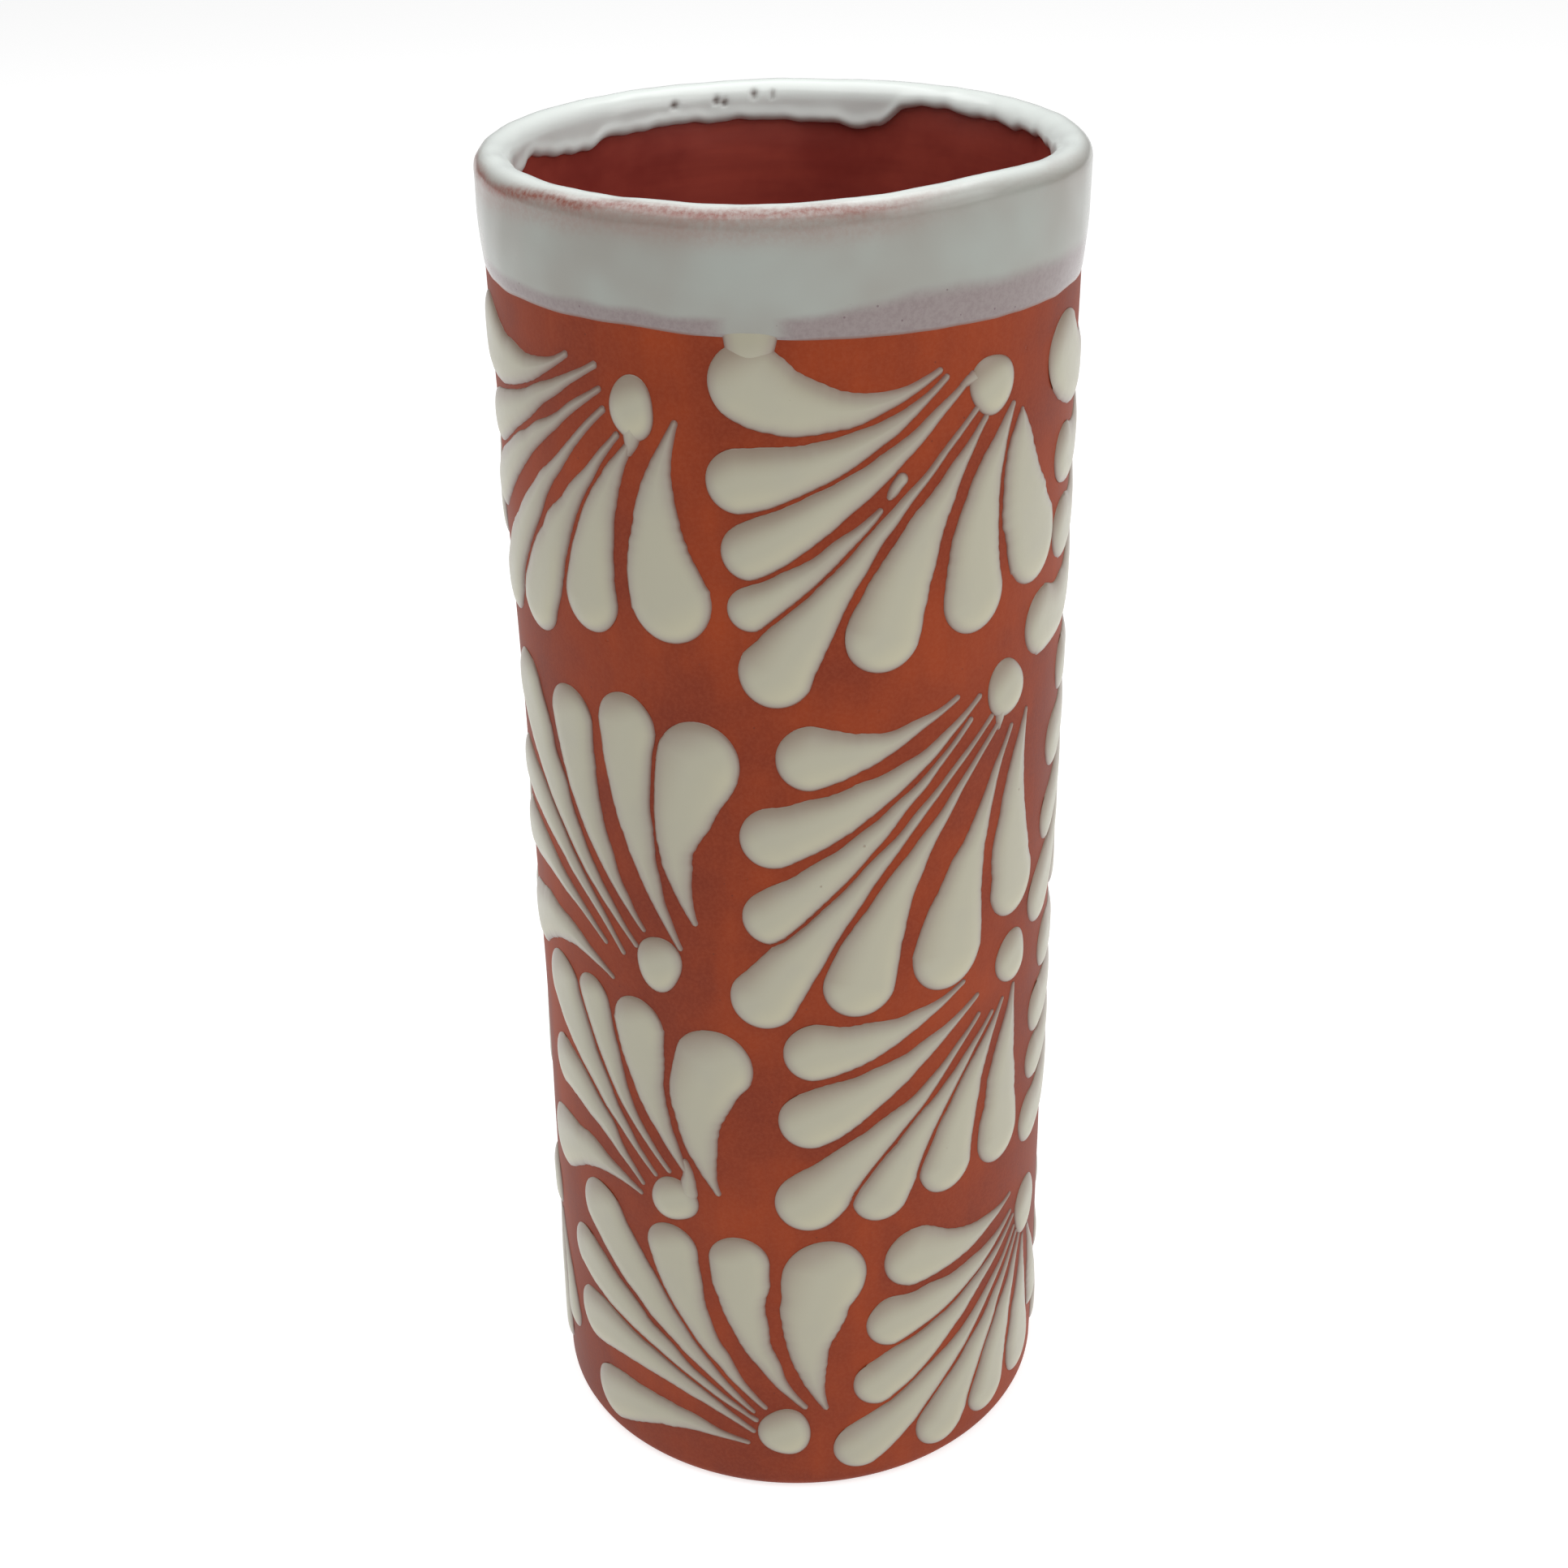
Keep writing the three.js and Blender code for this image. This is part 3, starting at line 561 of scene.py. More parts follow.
def rim_whiteness(angle, from_edge, places):
    """0 at the lower edge, rising over half a millimetre to lilac and then to white at the top of a band,
    which is wider on the right. Where the slip has run in, it is white down to the edge."""
    right = smooth_step(np.sin(angle), -0.15, 0.45)
    band = 3.8 + 4.6 * right + 0.5 * soft_noise(places, 9, 43)
    neck = np.exp((np.cos(angle - NECK_ANGLE) - 1) * 2 / NECK_WIDTH**2)
    whiter = np.maximum(smooth_step(from_edge, 0.7 + 1.6 * right, band), neck)
    return np.maximum(np.clip(from_edge / 0.5, 0, 1), neck) * (0.1 + 0.9 * whiter)


def rim_film():
    """The film as rings from its lower edge outside, over the lip, to its inner edge, and back inside the
    clay. The walk's steps follow a cosine, so they are finest at both edges. The attributes come with it."""
    angle = round_angles(RIM_SIDES)[None, :]
    quarter = LIP_WALL * np.pi / 4
    outer_end = lip_height(angle) - LIP_WALL / 2 - rim_edge_height(angle) + quarter
    inner_end = inner_reach(angle)
    part = 0.5 - 0.5 * np.cos(np.linspace(0, np.pi, 64))[:, None]
    walk = -outer_end + (outer_end + inner_end) * part
    places = polar(LIP_RADIUS, walk, angle)
    holes = pinhole_depth(angle, walk)
    thickness = film_thickness(walk + outer_end, inner_end - walk) * (1 + 0.07 * soft_noise(places, 7, 31))
    relief = wall_relief(lip_height(angle) + walk, angle) * smooth_step(-walk, 3, 12)
    face_radius, face_level = over_lip(angle, walk, thickness * (1 - PINHOLE_DEPTH * holes) + relief)
    back_radius, back_level = over_lip(angle, walk[::-1], -FILM_BACK)
    rings = np.concatenate([polar(face_radius, face_level, angle), polar(back_radius, back_level, angle)])
    looks = {
        "whiteness": rim_whiteness(angle, walk + outer_end, places),
        "blush": rim_blush(angle, walk, places),
        # crown marks where the lip's top is painted bright as lit from above: 1 over the crown and inside,
        # fading out down the outside.
        "crown": smooth_step(walk, -2.4, -0.2),
        "holes": holes,
    }
    back = np.zeros_like(walk)
    return closed_skin(rings), {key: [np.concatenate([look, back]).ravel()] for key, look in looks.items()}


film, film_attributes = rim_film()
rim = make_piece("dipped_rim", [film], WHITE_FINISH, ["rim_glaze"], film_attributes)
print("dipped rim:", len(rim.data.vertices), "points")

# %% [markdown]
# ## The clear lining
# The lining is a thin film too, poured in and out. Its top edge feathers out just under the white glaze's
# edge, and it hugs the inside wall, the rounded corner and the floor.


# %% Lining
def lining_film():
    """The film's face as rings down the wall, round the corner and over the floor, and its back, which is
    the same walk a little inside the clay."""
    angle = round_angles(LINING_SIDES)[None, :]
    walk = inner_reach(angle) - 0.8
    top = np.minimum(over_lip(angle, walk, 0)[1], HEIGHT - LINING_DROP)
    bottom = FLOOR + FLOOR_CORNER
    wall = top + (bottom - top) * (np.linspace(0, 1, 60) ** 1.4)[:-1, None]
    relief = 0.10 * soft_noise(polar(FOOT_RADIUS, wall, angle), 30, 61)
    swell = LINING * smooth_step(top - wall, -1, 6) + relief * smooth_step(top - wall, 0.5, 6)
    corner_part = np.linspace(0, 1, 10)[:, None]
    corner_radius, corner_level = inner_corner(angle, corner_part, LINING)
    floor = corner_radius[-1:] * np.linspace(1, 0.05, 12)[1:, None]
    face = np.concatenate([
        polar(inside_radius(wall, angle) - swell, wall, angle), polar(corner_radius, corner_level, angle),
        polar(floor, np.full_like(floor, FLOOR + LINING), angle),
    ])
    back_radius, back_level = inner_corner(angle, corner_part, -FILM_BACK)
    back_floor = back_radius[-1:] * np.linspace(1, 0.05, 12)[1:, None]
    back = np.concatenate([
        polar(inside_radius(wall, angle) + FILM_BACK, wall, angle), polar(back_radius, back_level, angle),
        polar(back_floor, np.full_like(back_floor, FLOOR - FILM_BACK), angle),
    ])
    rings = np.concatenate([back[::-1], face])
    return closed_skin(rings, [[0, 0, FLOOR - FILM_BACK]], [[0, 0, FLOOR + LINING]])


lining = make_piece("glaze_lining", [lining_film()], LINING_FINISH, ["inner_glaze"])
print("glaze lining:", len(lining.data.vertices), "points")

# %% [markdown]
# ## The painted pattern
# The fans were drawn by eye. Each stroke was squeezed out fat at its round head and pulled off into a thin
# tail towards the dot. The list gives, on the unrolled wall in millimetres, each stroke's tail, a place on
# the middle of its curve, the centre of its head and the head's radius. A fifth number says how late the
# stroke widens: the larger it is, the longer it stays thin. A dot has its place, half its width and half its
# height. Necks are short strokes too, where slip has run from one drop into the next or fallen as a spot.
# The rows run from the lip down, and the two columns on the far side repeat the first two.

# %% Where the strokes lie
PATTERN_RADIUS, PATTERN_TOP = 40.0, 184.0
COLUMN_PITCH = 2 * math.pi * PATTERN_RADIUS / 5

LEFT_COLUMN = [
    {"dot": [-20.5, 174.3, 3.5, 4], "strokes": [
        [[-31, 179.5], [-42, 175.5], [-54, 177], 5.5, 1.7],
        [[-26, 179], [-40, 171.5], [-53, 166], 3.6, 1.7],
        [[-25.5, 176], [-40, 166.5], [-55, 156], 3.5, 1.7],
        [[-25, 173.5], [-38, 160.5], [-52, 143], 4.5, 2],
        [[-23, 170.5], [-33, 158], [-41.5, 144.3], 5.2, 1.8],
        [[-20.5, 170.5], [-27, 158.5], [-29.2, 147.4], 4.9, 1.3],
        [[-14.5, 173], [-17.7, 161], [-16.3, 149.5], 6, 1.4],
    ], "necks": [[[-21.2, 168.5], [-20.8, 170], [-20.6, 172], 1.7, 1]]},
    {"dot": [-20.6, 94, 3.9, 4.4], "strokes": [
        [[-14.5, 102], [-16.7, 113.5], [-13.2, 126.7], 6, 1.2],
        [[-17, 97.5], [-23, 113.5], [-24.3, 130], 4.9, 1.4],
        [[-23, 99], [-31.5, 113], [-35.3, 128], 4.9, 1.5],
        [[-24.5, 96], [-37.5, 111.5], [-48.7, 128], 5.3, 1.6],
        [[-27, 94], [-39, 106.5], [-53, 114], 4, 1.7],
        [[-30.5, 94.5], [-42, 101.5], [-54, 103.5], 4, 1.7],
        [[-29.5, 89], [-41, 92.5], [-52, 89.5], 5, 1.5],
    ]},
    {"dot": [-19.8, 53.5, 4, 4], "strokes": [
        [[-12.4, 56.5], [-15.3, 68], [-12.7, 78.5], 6.2, 1.2],
        [[-17, 58.5], [-22.7, 70], [-25, 82.5], 4.6, 1.4],
        [[-20.5, 58.5], [-29, 70], [-34.4, 83.5], 3.7, 1.8],
        [[-23, 57], [-34, 69.5], [-43.1, 81.3], 5.5, 1.8],
        [[-25.5, 54.5], [-35.5, 63.5], [-44, 67], 4.6, 1.6],
        [[-26, 52.5], [-36.5, 54.3], [-47, 51.5], 5.3, 1.5],
    ], "necks": [[[-17.6, 61], [-17.2, 58.5], [-17.2, 55.5], 1.5, 1]]},
    {"dot": [-2.9, 11.7, 4, 4.9], "strokes": [
        [[3.6, 16.5], [1.2, 28.5], [3.7, 42], 6.5, 1.2],
        [[0.3, 16.8], [-7, 29], [-9.5, 44], 4.9, 1.4],
        [[-6, 16.5], [-15.7, 29.5], [-20.6, 44], 4.6, 1.6],
        [[-8, 15.5], [-21.7, 29.5], [-35, 44.5], 5.4, 1.6],
        [[-7.5, 13.8], [-24, 24.3], [-40.5, 33.3], 4.6, 1.7],
        [[-8, 11.5], [-24, 19.8], [-39.5, 21.2], 4.8, 1.5],
        [[-9, 9], [-22, 10.4], [-34.5, 8.3], 5.1, 1.6],
    ]},
]

MIDDLE_COLUMN = [
    {"dot": [28, 175, 3.7, 4.1], "strokes": [
        [[19.5, 178.3], [6.5, 174.8], [-4.8, 178.6], 5.2, 1.7],
        [[20.5, 177.3], [8, 169.7], [-6.3, 166.2], 4.3, 1.6],
        [[24.5, 177], [10, 165.8], [-5, 157], 3.9, 1.6],
        [[11.5, 161.5], [4, 155], [-5.2, 149.2], 3.1, 1.2],
        [[25.5, 172.5], [9.7, 156.3], [-2, 140.5], 5.1, 2.8],
        [[27, 171], [17.7, 157.5], [12.2, 144.8], 5.4, 1.5],
        [[32, 171.5], [26.7, 159], [26, 147.2], 5.2, 1.1],
        [[34, 170.2], [35, 160], [38.3, 151.5], 6.2, 0.8],
    ], "necks": [
        [[-4.9, 175], [-4.7, 180.5], [-4.4, 186.5], 3.6, 0.7],
        [[23, 175.9], [24.8, 176.4], [26.5, 176.3], 1.2, 1],
        [[12.9, 163.3], [13.6, 164.3], [14.4, 165.3], 0.9, 0.5],
    ]},
    {"dot": [33, 131.8, 4, 4.3], "strokes": [
        [[23.5, 133.3], [13, 129.3], [2.4, 128], 4.8, 2.1],
        [[27.5, 132.3], [12.3, 122.3], [-3, 116.2], 4.6, 1.7],
        [[26, 129.3], [11, 115.5], [-3.2, 104], 4.3, 2.2],
        [[30, 128.5], [11.3, 110.5], [-4.5, 91], 5.1, 2.8],
        [[32, 127.5], [17.3, 110.2], [9.2, 92.6], 5.5, 2.5],
        [[34.5, 125.5], [27.3, 110], [23.2, 94.2], 6.1, 1.9],
        [[38.3, 126.5], [35.7, 113], [36.5, 100.3], 5.4, 1.2],
    ], "necks": [[[31.6, 126.5], [31.9, 128], [32.2, 130], 1.4, 1]]},
    {"dot": [37, 87.5, 4.1, 4.2], "strokes": [
        [[26, 88], [14, 83.3], [2.7, 81.8], 4.8, 1.7],
        [[29, 84.5], [14, 75.8], [2, 70.4], 5, 1.6],
        [[29.5, 81], [14.5, 67], [1.5, 56], 5.3, 2],
        [[32.5, 80], [21, 67.3], [12.6, 55.5], 4.7, 1.9],
        [[35, 81], [27.7, 68.5], [23.8, 57.3], 5, 1.5],
        [[38, 82], [36, 69], [35.3, 57.4], 5.2, 1.1],
    ]},
    {"dot": [45.3, 37.3, 4.2, 4.9], "strokes": [
        [[39, 43.2], [29, 41.3], [18.3, 42.3], 5.3, 1.7],
        [[39.5, 39.5], [27, 34], [14.8, 31.3], 4.7, 1.5],
        [[40.5, 38], [26, 28.3], [12.6, 20.2], 4.6, 1.7],
        [[41, 35.5], [24.5, 19.5], [9.4, 8.1], 4.7, 1.8],
        [[42, 34], [32, 20], [23.6, 7.8], 4.9, 1.8],
        [[43.5, 33], [37.7, 19.5], [34.2, 8.3], 4.8, 1.5],
        [[45, 31], [44.5, 20], [45, 9], 4.8, 1.3],
        [[47.5, 31.5], [50.5, 23], [52.5, 15.5], 3.6, 1.3],
    ]},
]

RIGHT_COLUMN = [
    {"dot": [80.5, 176, 3.7, 4.1], "strokes": [
        [[72, 179.5], [57.5, 171], [46, 174.5], 5.8, 1.4],
        [[74, 177.5], [60, 162.5], [48.3, 160.3], 4.3, 1.6],
        [[75.5, 175.7], [62, 154.5], [49, 149.6], 4.4, 1.7],
        [[76.8, 173.5], [61, 145], [41.8, 138.6], 4.8, 1.5],
        [[78.5, 171.5], [72.5, 155], [66.5, 139.5], 4.4, 1.8],
        [[80, 170.8], [77.5, 156], [75.2, 142.5], 4.4, 1.5],
        [[83, 171], [83, 158.5], [84.2, 147], 4.8, 1.3],
    ]},
    {"dot": [83, 131, 4, 4.3], "strokes": [
        [[74, 133.5], [64, 130], [54.5, 127.5], 4.5, 1.6],
        [[77.5, 132], [63, 122.5], [50.5, 117], 4.3, 1.7],
        [[76, 128.5], [62.5, 115.5], [49.5, 105.5], 4.3, 1.8],
        [[80, 128], [61.5, 107.5], [46.3, 93.8], 4.8, 2.2],
        [[82.5, 127], [69, 109], [60, 93.5], 5.3, 1.9],
        [[84.5, 125.5], [77.5, 109], [73, 94.5], 5.7, 1.6],
        [[88.5, 126], [86.5, 113], [86.5, 100.5], 5.4, 1.3],
    ]},
    {"dot": [86, 87.5, 4.1, 4.2], "strokes": [
        [[76, 88], [64, 84], [51.5, 82.8], 4.5, 1.7],
        [[78.5, 84.5], [63, 76.5], [48.5, 73], 4.6, 1.7],
        [[79, 80.5], [62, 69], [47.5, 64.3], 4, 1.8],
        [[80.5, 79.5], [61, 61.5], [46.2, 54], 4.6, 2],
        [[83.5, 79.5], [73, 66], [65.3, 55.5], 4.8, 1.8],
        [[85.5, 79.5], [80, 67], [76, 57], 4.8, 1.5],
        [[88.5, 79.5], [87, 68], [87, 57.5], 5.2, 1.2],
    ]},
    {"dot": [95.5, 37, 4.2, 4.8], "strokes": [
        [[89.5, 43], [79, 41.3], [69, 42], 5, 1.7],
        [[89.5, 39.5], [77, 34], [65.5, 31], 4.7, 1.5],
        [[90.5, 38], [76, 28], [63.5, 20], 4.5, 1.7],
        [[91, 35.5], [75, 19], [60, 7.8], 4.7, 1.8],
        [[92, 34], [82.5, 19.5], [74, 7.8], 4.8, 1.8],
        [[93.5, 33], [88, 19.5], [84.5, 8.3], 4.7, 1.5],
        [[95, 31], [94.5, 20], [95, 9], 4.8, 1.3],
        [[97.5, 31.5], [100.5, 23], [102.5, 15.5], 3.6, 1.3],
    ]},
]
FAR_LEFT_SHIFT = 3 * COLUMN_PITCH
FAR_MIDDLE_SHIFT = 3 * COLUMN_PITCH - 1.5
COLUMNS = [
    (LEFT_COLUMN, 0), (MIDDLE_COLUMN, 0), (RIGHT_COLUMN, 0),
    (LEFT_COLUMN, FAR_LEFT_SHIFT), (MIDDLE_COLUMN, FAR_MIDDLE_SHIFT),
]
print("strokes:", sum(len(fan["strokes"]) for fans, _ in COLUMNS for fan in fans))


# %% The unrolled wall
def on_wall(along, height, lift):
    """A place of the pattern on the real wall: along becomes an angle, and height is stretched so that the
    pattern ends at the white glaze's edge. Lift moves it off the clay."""
    angle = along / PATTERN_RADIUS
    level = HEIGHT - RIM_DROP - RIM_TILT * np.sin(angle)
    real = height * level / (PATTERN_TOP - RIM_TILT * np.sin(angle))
    radius = outside_radius(real, angle) + wall_relief(real, angle) * smooth_step(real, 0.5, 4)
    return polar(radius + lift, real, angle)


# %% [markdown]
# ## A stroke of slip
# A stroke is a drop of thick liquid that set. Seen from above it is a teardrop: its half width grows along
# the curve from almost nothing to the head's radius, and ends in a half circle. Its surface rounds over
# near its edge, as surface tension leaves it, and is nearly flat on top where it is wide. So its height is
# a function of one thing, the distance to its outline, which works in the head and in the tail alike. Where
# two strokes of a fan would meet, each gives way by half, and a bare groove stays open between them.

# %% Shape of one stroke
CROWN = 0.66          # height of the slip on a wide head
DOT_SWELL = 1.05      # how much thicker a dot is than a stroke
SHOULDER = 3.0        # distance from the edge over which it rounds up
TAIL = 0.5            # half width of the tail
SUNK = -0.12          # where a surface that isn't raised lies, a little inside the clay
UNDERSIDE = -0.22     # the underside, further in
GROOVE = 0.22         # half the bare line that stays open where two strokes would touch
FADE = 2.0            # how far above and below the white glaze's edge a stroke sinks into it
UPPER_LEFT = np.array([-0.45, 0.89])


def slip_height(distance):
    """Height of slip at a distance from its outline: a quarter circle, softened, up to the shoulder."""
    part = np.clip(distance / SHOULDER, 0, 1)
    return CROWN * np.clip(1 - (1 - part) ** 2, 0, 1) ** 0.7


def stroke_line(tail, middle, head):
    """Quadratic curve through tail, middle and head as a function of the part of its length."""
    tail, middle, head = (np.array(place, dtype=float) for place in (tail, middle, head))
    control = 2 * middle - (tail + head) / 2
    t = np.linspace(0, 1, 61)[:, None]
    curve = (1 - t) ** 2 * tail + 2 * t * (1 - t) * control + t * t * head
    steps = np.linalg.norm(np.diff(curve, axis=0), axis=1)
    length = np.concatenate([[0], np.cumsum(steps)])
    return curve, length


def flank(x, radius, taper):
    """Half width at a part x of the length: tail + (radius - tail) (1 - (1 - x^taper)^1.35)."""
    return TAIL + (radius - TAIL) * (1 - (1 - x**taper) ** 1.35)


def stroke_depth(stroke, place):
    """How deep a place lies inside a stroke: half width less distance, at the place of its line where that
    is most."""
    tail, middle, head, radius, taper = stroke
    line, length = stroke_line(tail, middle, head)
    line, x = line[::2], (length / length[-1])[::2]
    apart = place[..., None, :] - line
    return (flank(x, radius, taper) - np.sqrt((apart**2).sum(axis=-1))).max(axis=-1)


def rightwards(direction):
    """Directions in the plane of the pattern, turned a quarter to the right."""
    return np.stack([direction[:, 1], -direction[:, 0]], axis=1)


def stroke_rows(stroke, seed):
    """The rows that cross a stroke, from behind its tail to the front of its head: each one's part of the
    length, distance past the head's centre, half width, nearest place on the line, middle and direction.
    The outline is the flank with circles at both ends, and both line and width waver as a hand does."""
    tail, middle, head, radius, taper = stroke
    curve, length = stroke_line(tail, middle, head)
    total = length[-1]
    s = np.concatenate([
        -TAIL * np.cos(np.linspace(0, np.pi / 2, 5)[1:-1]),
        total * np.linspace(0, 1, 52),
        total + radius * np.sin(np.linspace(0, np.pi / 2, 14)[1:-1]),
    ])
    x, before, past = np.clip(s / total, 0, 1), np.minimum(s, 0), np.maximum(s - total, 0)
    tail_cap = np.sqrt(np.clip(TAIL**2 - before**2, 0, None))
    head_cap = np.sqrt(np.clip(radius**2 - past**2, 0, None))
    half = np.where(past > 0, head_cap, np.where(before < 0, tail_cap, flank(x, radius, taper)))
    line = np.stack([np.interp(s, length, curve[:, k]) for k in (0, 1)], axis=1)
    tangent = np.stack([np.interp(s, length, np.gradient(curve[:, k], length)) for k in (0, 1)], axis=1)
    tangent /= np.linalg.norm(tangent, axis=1, keepdims=True)
    wobble = soft_noise(np.stack([s, np.full_like(s, seed * 7.0), s * 0], axis=1), 7, 71)
    tremor = soft_noise(np.stack([s, np.full_like(s, seed * 5.0), s * 0], axis=1), 1.6, 73)
    half = half * (1 + 0.035 * wobble + 0.05 * tremor * (1 - x) ** 0.5)
    sway = rightwards(tangent) * (0.18 * wobble * np.sin(np.pi * x))[:, None]
    return x, past, half, line, line + tangent * (past + before)[:, None] + sway, tangent


def stroke_skin(stroke, shift, seed, neighbours=()):
    """One closed drop, whose rows cross it on top and come back underneath, with the slip's thickness and
    the shade at each point. The tail is a quarter thinner than the head. A neighbour takes its share: where
    both would cover a place, each keeps only the side on which it is the deeper one, less half a groove."""
    radius = stroke[3]
    x, past, half, line, centre, tangent = stroke_rows(stroke, seed)
    over = -np.cos(np.linspace(0, np.pi, 29))[None, :]
    under = over[:, ::-4][:, 1:-1]
    across = np.concatenate([over, under], axis=1) * half[:, None]
    place = centre[:, None] + rightwards(tangent)[:, None] * across[..., None]
    top, in_head = place[:, : over.size], past[:, None] > 0
    from_head = np.maximum(radius - np.hypot(past[:, None], over * half[:, None]), 0)
    own = np.where(in_head, from_head, half[:, None] * (1 - np.abs(over)))
    shares = [(own - stroke_depth(other, top)) / 2 - GROOVE for other in neighbours]
    distance = np.maximum(np.min([own, *shares], axis=0), 0)
    full = slip_height(distance) * (0.75 + 0.25 * x[:, None])
    lift = full * (1 - smooth_step(top[..., 1], PATTERN_TOP - FADE, PATTERN_TOP + FADE))
    flat = np.zeros((len(x), under.size))
    lifts = np.concatenate([lift + SUNK * (lift == 0), flat + UNDERSIDE], axis=1)
    rings = on_wall(place[..., 0] + shift, place[..., 1], lifts)
    tips = np.array([centre[0] - tangent[0] * 0.1, centre[-1] + tangent[-1] * (radius - past[-1])])
    start, end = on_wall(tips[:, :1] + shift, tips[:, 1:], np.full((2, 1), SUNK))
    thickness = np.concatenate([full, flat], axis=1) / CROWN
    # The shade is painted shade: 1 along the drop's upper left side, away from the light, 0 on the lower
    # right, fading towards the tail.
    side = (place - line[:, None]) @ UPPER_LEFT / np.where(in_head, radius, half[:, None])
    shade = 0.5 + 0.5 * np.clip(side, -1, 1) * x[:, None] ** 0.5
    skin = closed_skin(rings, start, end)
    return skin, np.append(thickness.ravel(), [0, 0]), np.append(shade.ravel(), [0.5, 0.5])


# %% [markdown]
# ## A dot
# A dot is the same liquid, let fall in one place: an egg shape, thick, with the same rounded shoulder.


# %% Shape of one dot
def dot_skin(dot, shift, seed):
    """One closed drop: rings of an egg-shaped outline shrunk towards its middle, height again from the
    distance to the outline. The outline is a circle plus a little sine of twice and thrice the turn, which
    runs clockwise so that the faces look outwards."""
    along, height, half_width, half_height = dot
    centre = along + shift
    turn = -round_angles(DOT_SIDES)[None, ::-1]
    spread = np.cos(np.linspace(0, np.pi / 2, 15))[:-1, None]
    lean = 0.06 * np.sin(2 * turn + seed)
    outline = 1 + lean + 0.04 * np.sin(3 * turn + 2.1 * seed)
    size = (half_width + half_height) / 2
    lift = DOT_SWELL * slip_height(size * (1 - spread)) * np.ones_like(turn)
    lift = lift + SUNK * (lift == 0)
    across = centre + half_width * spread * outline * np.cos(turn)
    level = height + half_height * spread * outline * np.sin(turn)
    rings = on_wall(across, level, lift)
    under = on_wall((centre + across[:1]) / 2, (height + level[:1]) / 2, SUNK)
    middle = [np.array([centre]), np.array([height])]
    start = on_wall(*middle, np.array([SUNK]))
    end = on_wall(*middle, DOT_SWELL * slip_height(np.array([size])))
    lifts = np.concatenate([np.zeros_like(turn), lift]).ravel()
    thickness = np.append(np.clip(lifts / CROWN, 0, 1), [0, 1])
    beside = np.concatenate([across[:1], across]) - centre
    above = np.concatenate([level[:1], level]) - height
    place = np.stack([beside, above], axis=-1)
    # Painted shade, as on the strokes: 1 on the dot's upper left side, away from the light, 0 on its lower
    # right.
    shade = np.append(0.5 + 0.5 * np.clip(place @ UPPER_LEFT / size, -1, 1).ravel(), [0.5, 0.5])
    return closed_skin(np.concatenate([under, rings]), start, end), thickness, shade


# %% Lay all fans and dots
# Each neck gets the same painted shade all over, a little of the shaded colour.
NECK_SHADE = 0.6      # a neck is a little greyer than the drops that it joins


def add_drops(name, drops, node):
    """One piece from drops, each a skin with its thickness and shade."""
    skins, thickness, shade = zip(*drops)
    attributes = {"thickness": thickness, "shade": shade}
    return make_piece(name, list(skins), SLIP_FINISH, [node], attributes)


for column, (fans, shift) in enumerate(COLUMNS, start=1):
    for row, fan in enumerate(fans, start=1):
        seed = column * 10 + row
        strokes = []
        for k, stroke in enumerate(fan["strokes"]):
            others = [other for other in fan["strokes"] if other is not stroke]
            strokes.append(stroke_skin(stroke, shift, seed + 0.37 * k, others))
        for k, neck in enumerate(fan.get("necks", [])):
            skin, thickness, shade = stroke_skin(neck, shift, seed + 0.5 * k)
            strokes.append((skin, thickness, np.full_like(shade, NECK_SHADE)))
        place = f"row{row}_col{column}"
        add_drops(f"strokes_{place}", strokes, f"fan_{place}")
        add_drops(f"drop_{place}", [dot_skin(fan["dot"], shift, seed)], f"dot_{place}")

# %% [markdown]
# ## Floor, light and camera
# The vase stands on a plain pale floor, wide enough to fill the view from the front. A wide soft light
# overhead keeps the lip bright and the walls a little darker. A smaller one in front, to the right, makes
# the wall grow lighter towards that side. The floor glows, so that it stays white far from the lights.


# %% Floor
FLOOR_REACH, FLOOR_GLOW = 3.0, 0.73
FLOOR_GREY, WHITE = (0.5, 0.5, 0.5, 1), (1, 1, 1, 1)


def pale_floor():
    """A square of FLOOR_REACH metres each way, matt and faintly glowing."""
    mesh = bpy.data.meshes.new("floor")
    corners = [(x * FLOOR_REACH, y * FLOOR_REACH, 0) for x, y in ((-1, -1), (1, -1), (1, 1), (-1, 1))]
    mesh.from_pydata(corners, [], [(0, 1, 2, 3)])
    shader = Shader(
        "pale_floor", Roughness=0.9, Base_Color=FLOOR_GREY, Emission_Color=WHITE, Emission_Strength=FLOOR_GLOW
    )
    mesh.materials.append(shader.material)
    floor = bpy.data.objects.new("floor", mesh)
    bpy.context.scene.collection.objects.link(floor)


pale_floor()


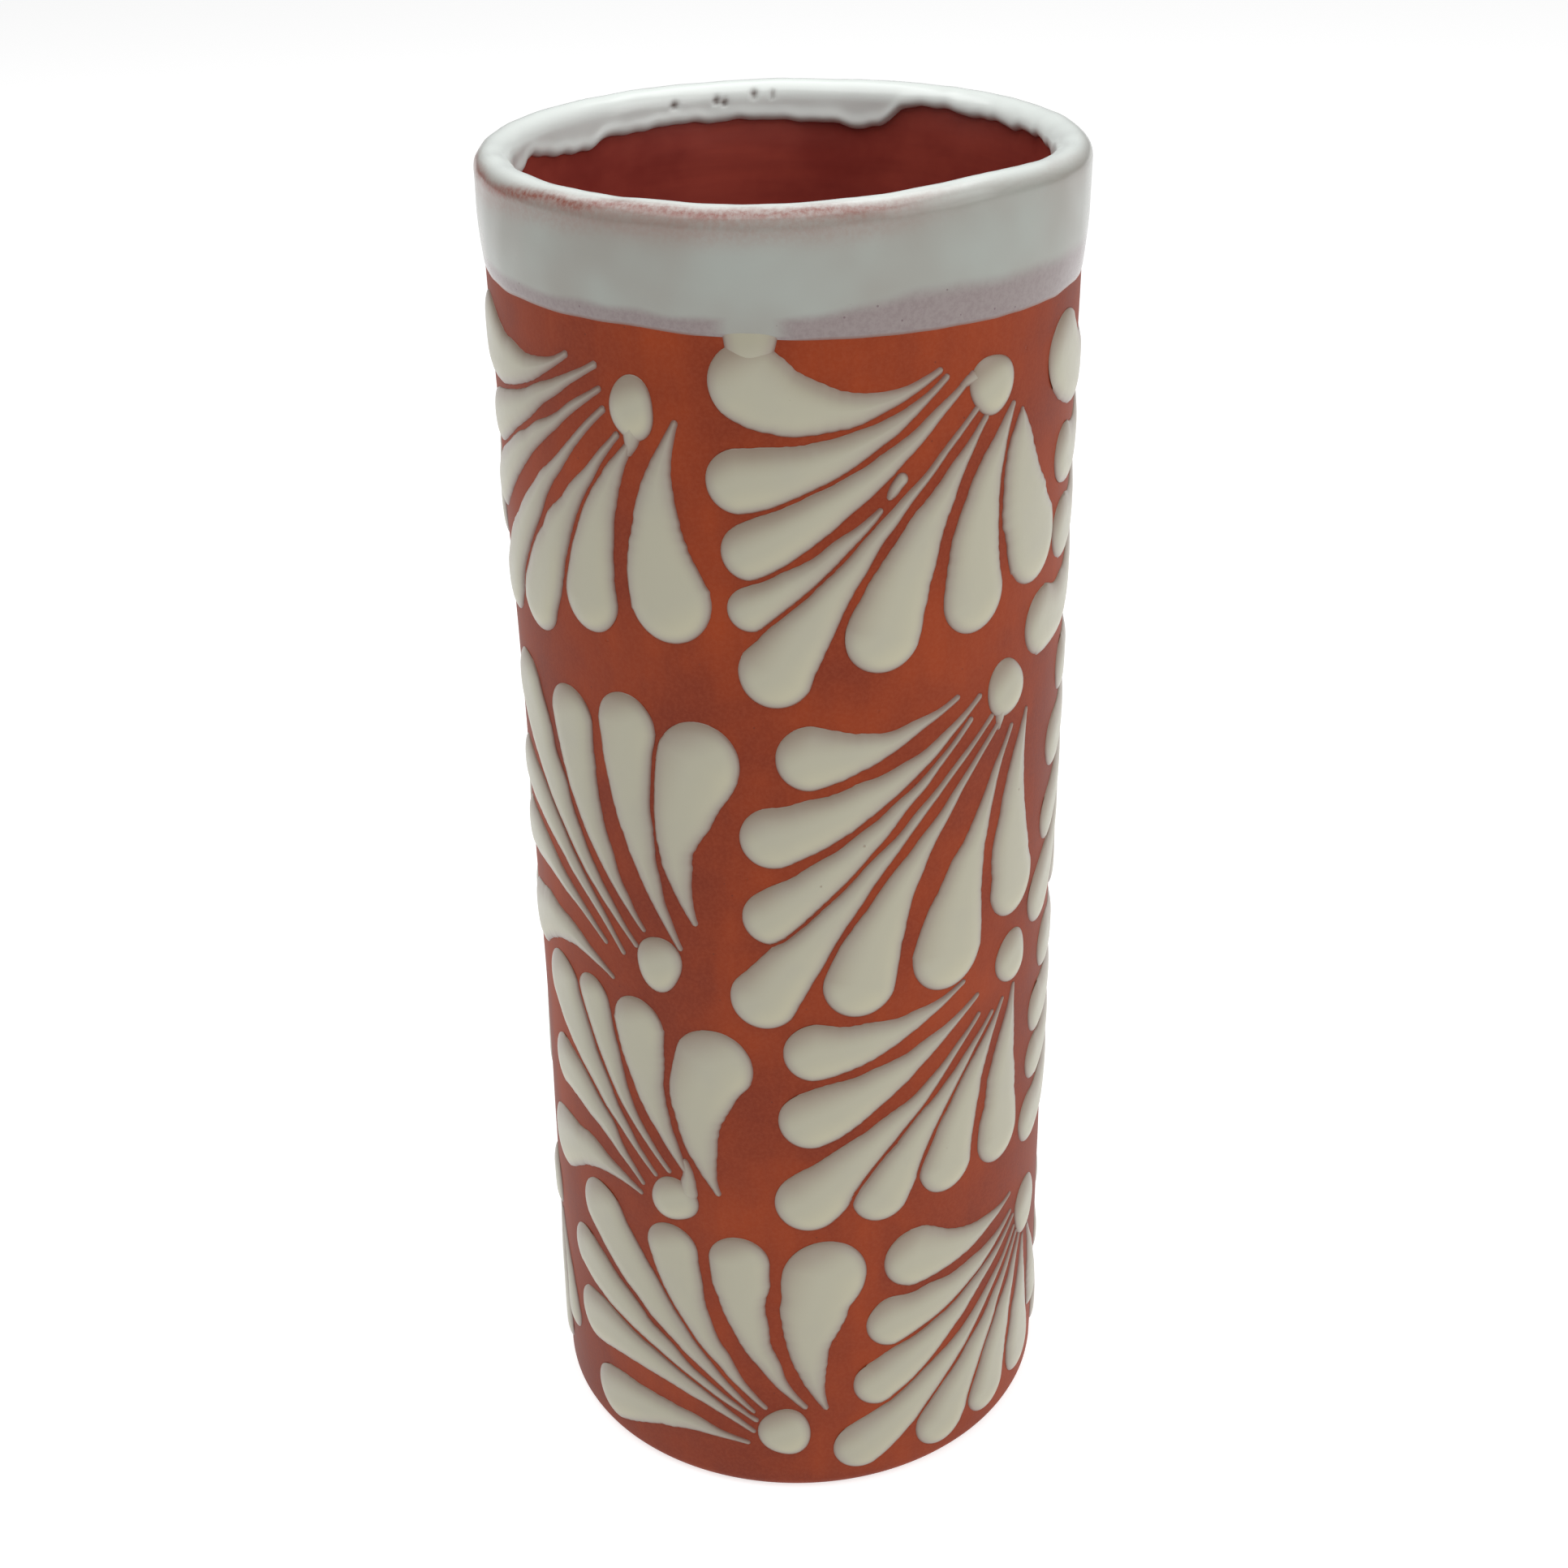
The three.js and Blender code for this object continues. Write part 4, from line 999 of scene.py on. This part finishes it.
# %% Lights
def soft_light(name, place, size, power):
    """A square soft box at a place in metres, size metres wide and power watts strong, turned to face the
    middle of the vase."""
    light = bpy.data.lights.new(name, "AREA")
    light.size, light.energy = size, power
    lamp = bpy.data.objects.new(name, light)
    aim = np.array([0, 0, HEIGHT * MM / 2]) - np.array(place)
    lamp.location = place
    lamp.rotation_euler = (math.atan2(math.hypot(aim[0], aim[1]), -aim[2]), 0, math.atan2(-aim[0], aim[1]))
    bpy.context.scene.collection.objects.link(lamp)


soft_light("overhead", (-0.1, 0.0, 1.2), 1.5, 14.0)
soft_light("right_side", (1.0, -0.6, 0.7), 1.0, 4.5)
world = bpy.data.worlds.new("studio")
world.use_nodes = True
surroundings = world.node_tree.nodes["Background"]
surroundings.inputs["Color"].default_value = WHITE
surroundings.inputs["Strength"].default_value = 0.26
bpy.context.scene.world = world
bpy.context.scene.view_settings.view_transform = "Standard"

# %% Camera
CAMERA_DISTANCE, CAMERA_HEIGHT = 298 * MM, 261.2 * MM     # from the vase's axis, and above the floor
LOOK_DOWN, LOOK_ASIDE, ROLL = 0.4852, -0.0040, -0.0266    # in radians
LENS, SENSOR = 51.5, 36.0                                 # focal length and sensor width, in millimetres


def add_camera():
    """A camera in front of the vase, looking down at it, with a slight roll. Its axes are worked out one
    after the other: forward, right, up, and then right and up turned by the roll."""
    level = math.cos(LOOK_DOWN)
    forward = np.array([math.sin(LOOK_ASIDE) * level, math.cos(LOOK_ASIDE) * level, -math.sin(LOOK_DOWN)])
    right = np.array([math.cos(LOOK_ASIDE), -math.sin(LOOK_ASIDE), 0.0])
    up = np.cross(right, forward)
    rolled_right = math.cos(ROLL) * right + math.sin(ROLL) * up
    rolled_up = -math.sin(ROLL) * right + math.cos(ROLL) * up
    lens = bpy.data.cameras.new("camera")
    lens.lens, lens.sensor_width, lens.clip_start = LENS, SENSOR, 0.01
    camera = bpy.data.objects.new("camera", lens)
    turn = np.eye(4)
    turn[:3, 0], turn[:3, 1], turn[:3, 2] = rolled_right, rolled_up, -forward
    turn[:3, 3] = (0, -CAMERA_DISTANCE, CAMERA_HEIGHT)
    camera.matrix_world = Matrix(turn.tolist())
    bpy.context.scene.collection.objects.link(camera)
    bpy.context.scene.camera = camera


add_camera()
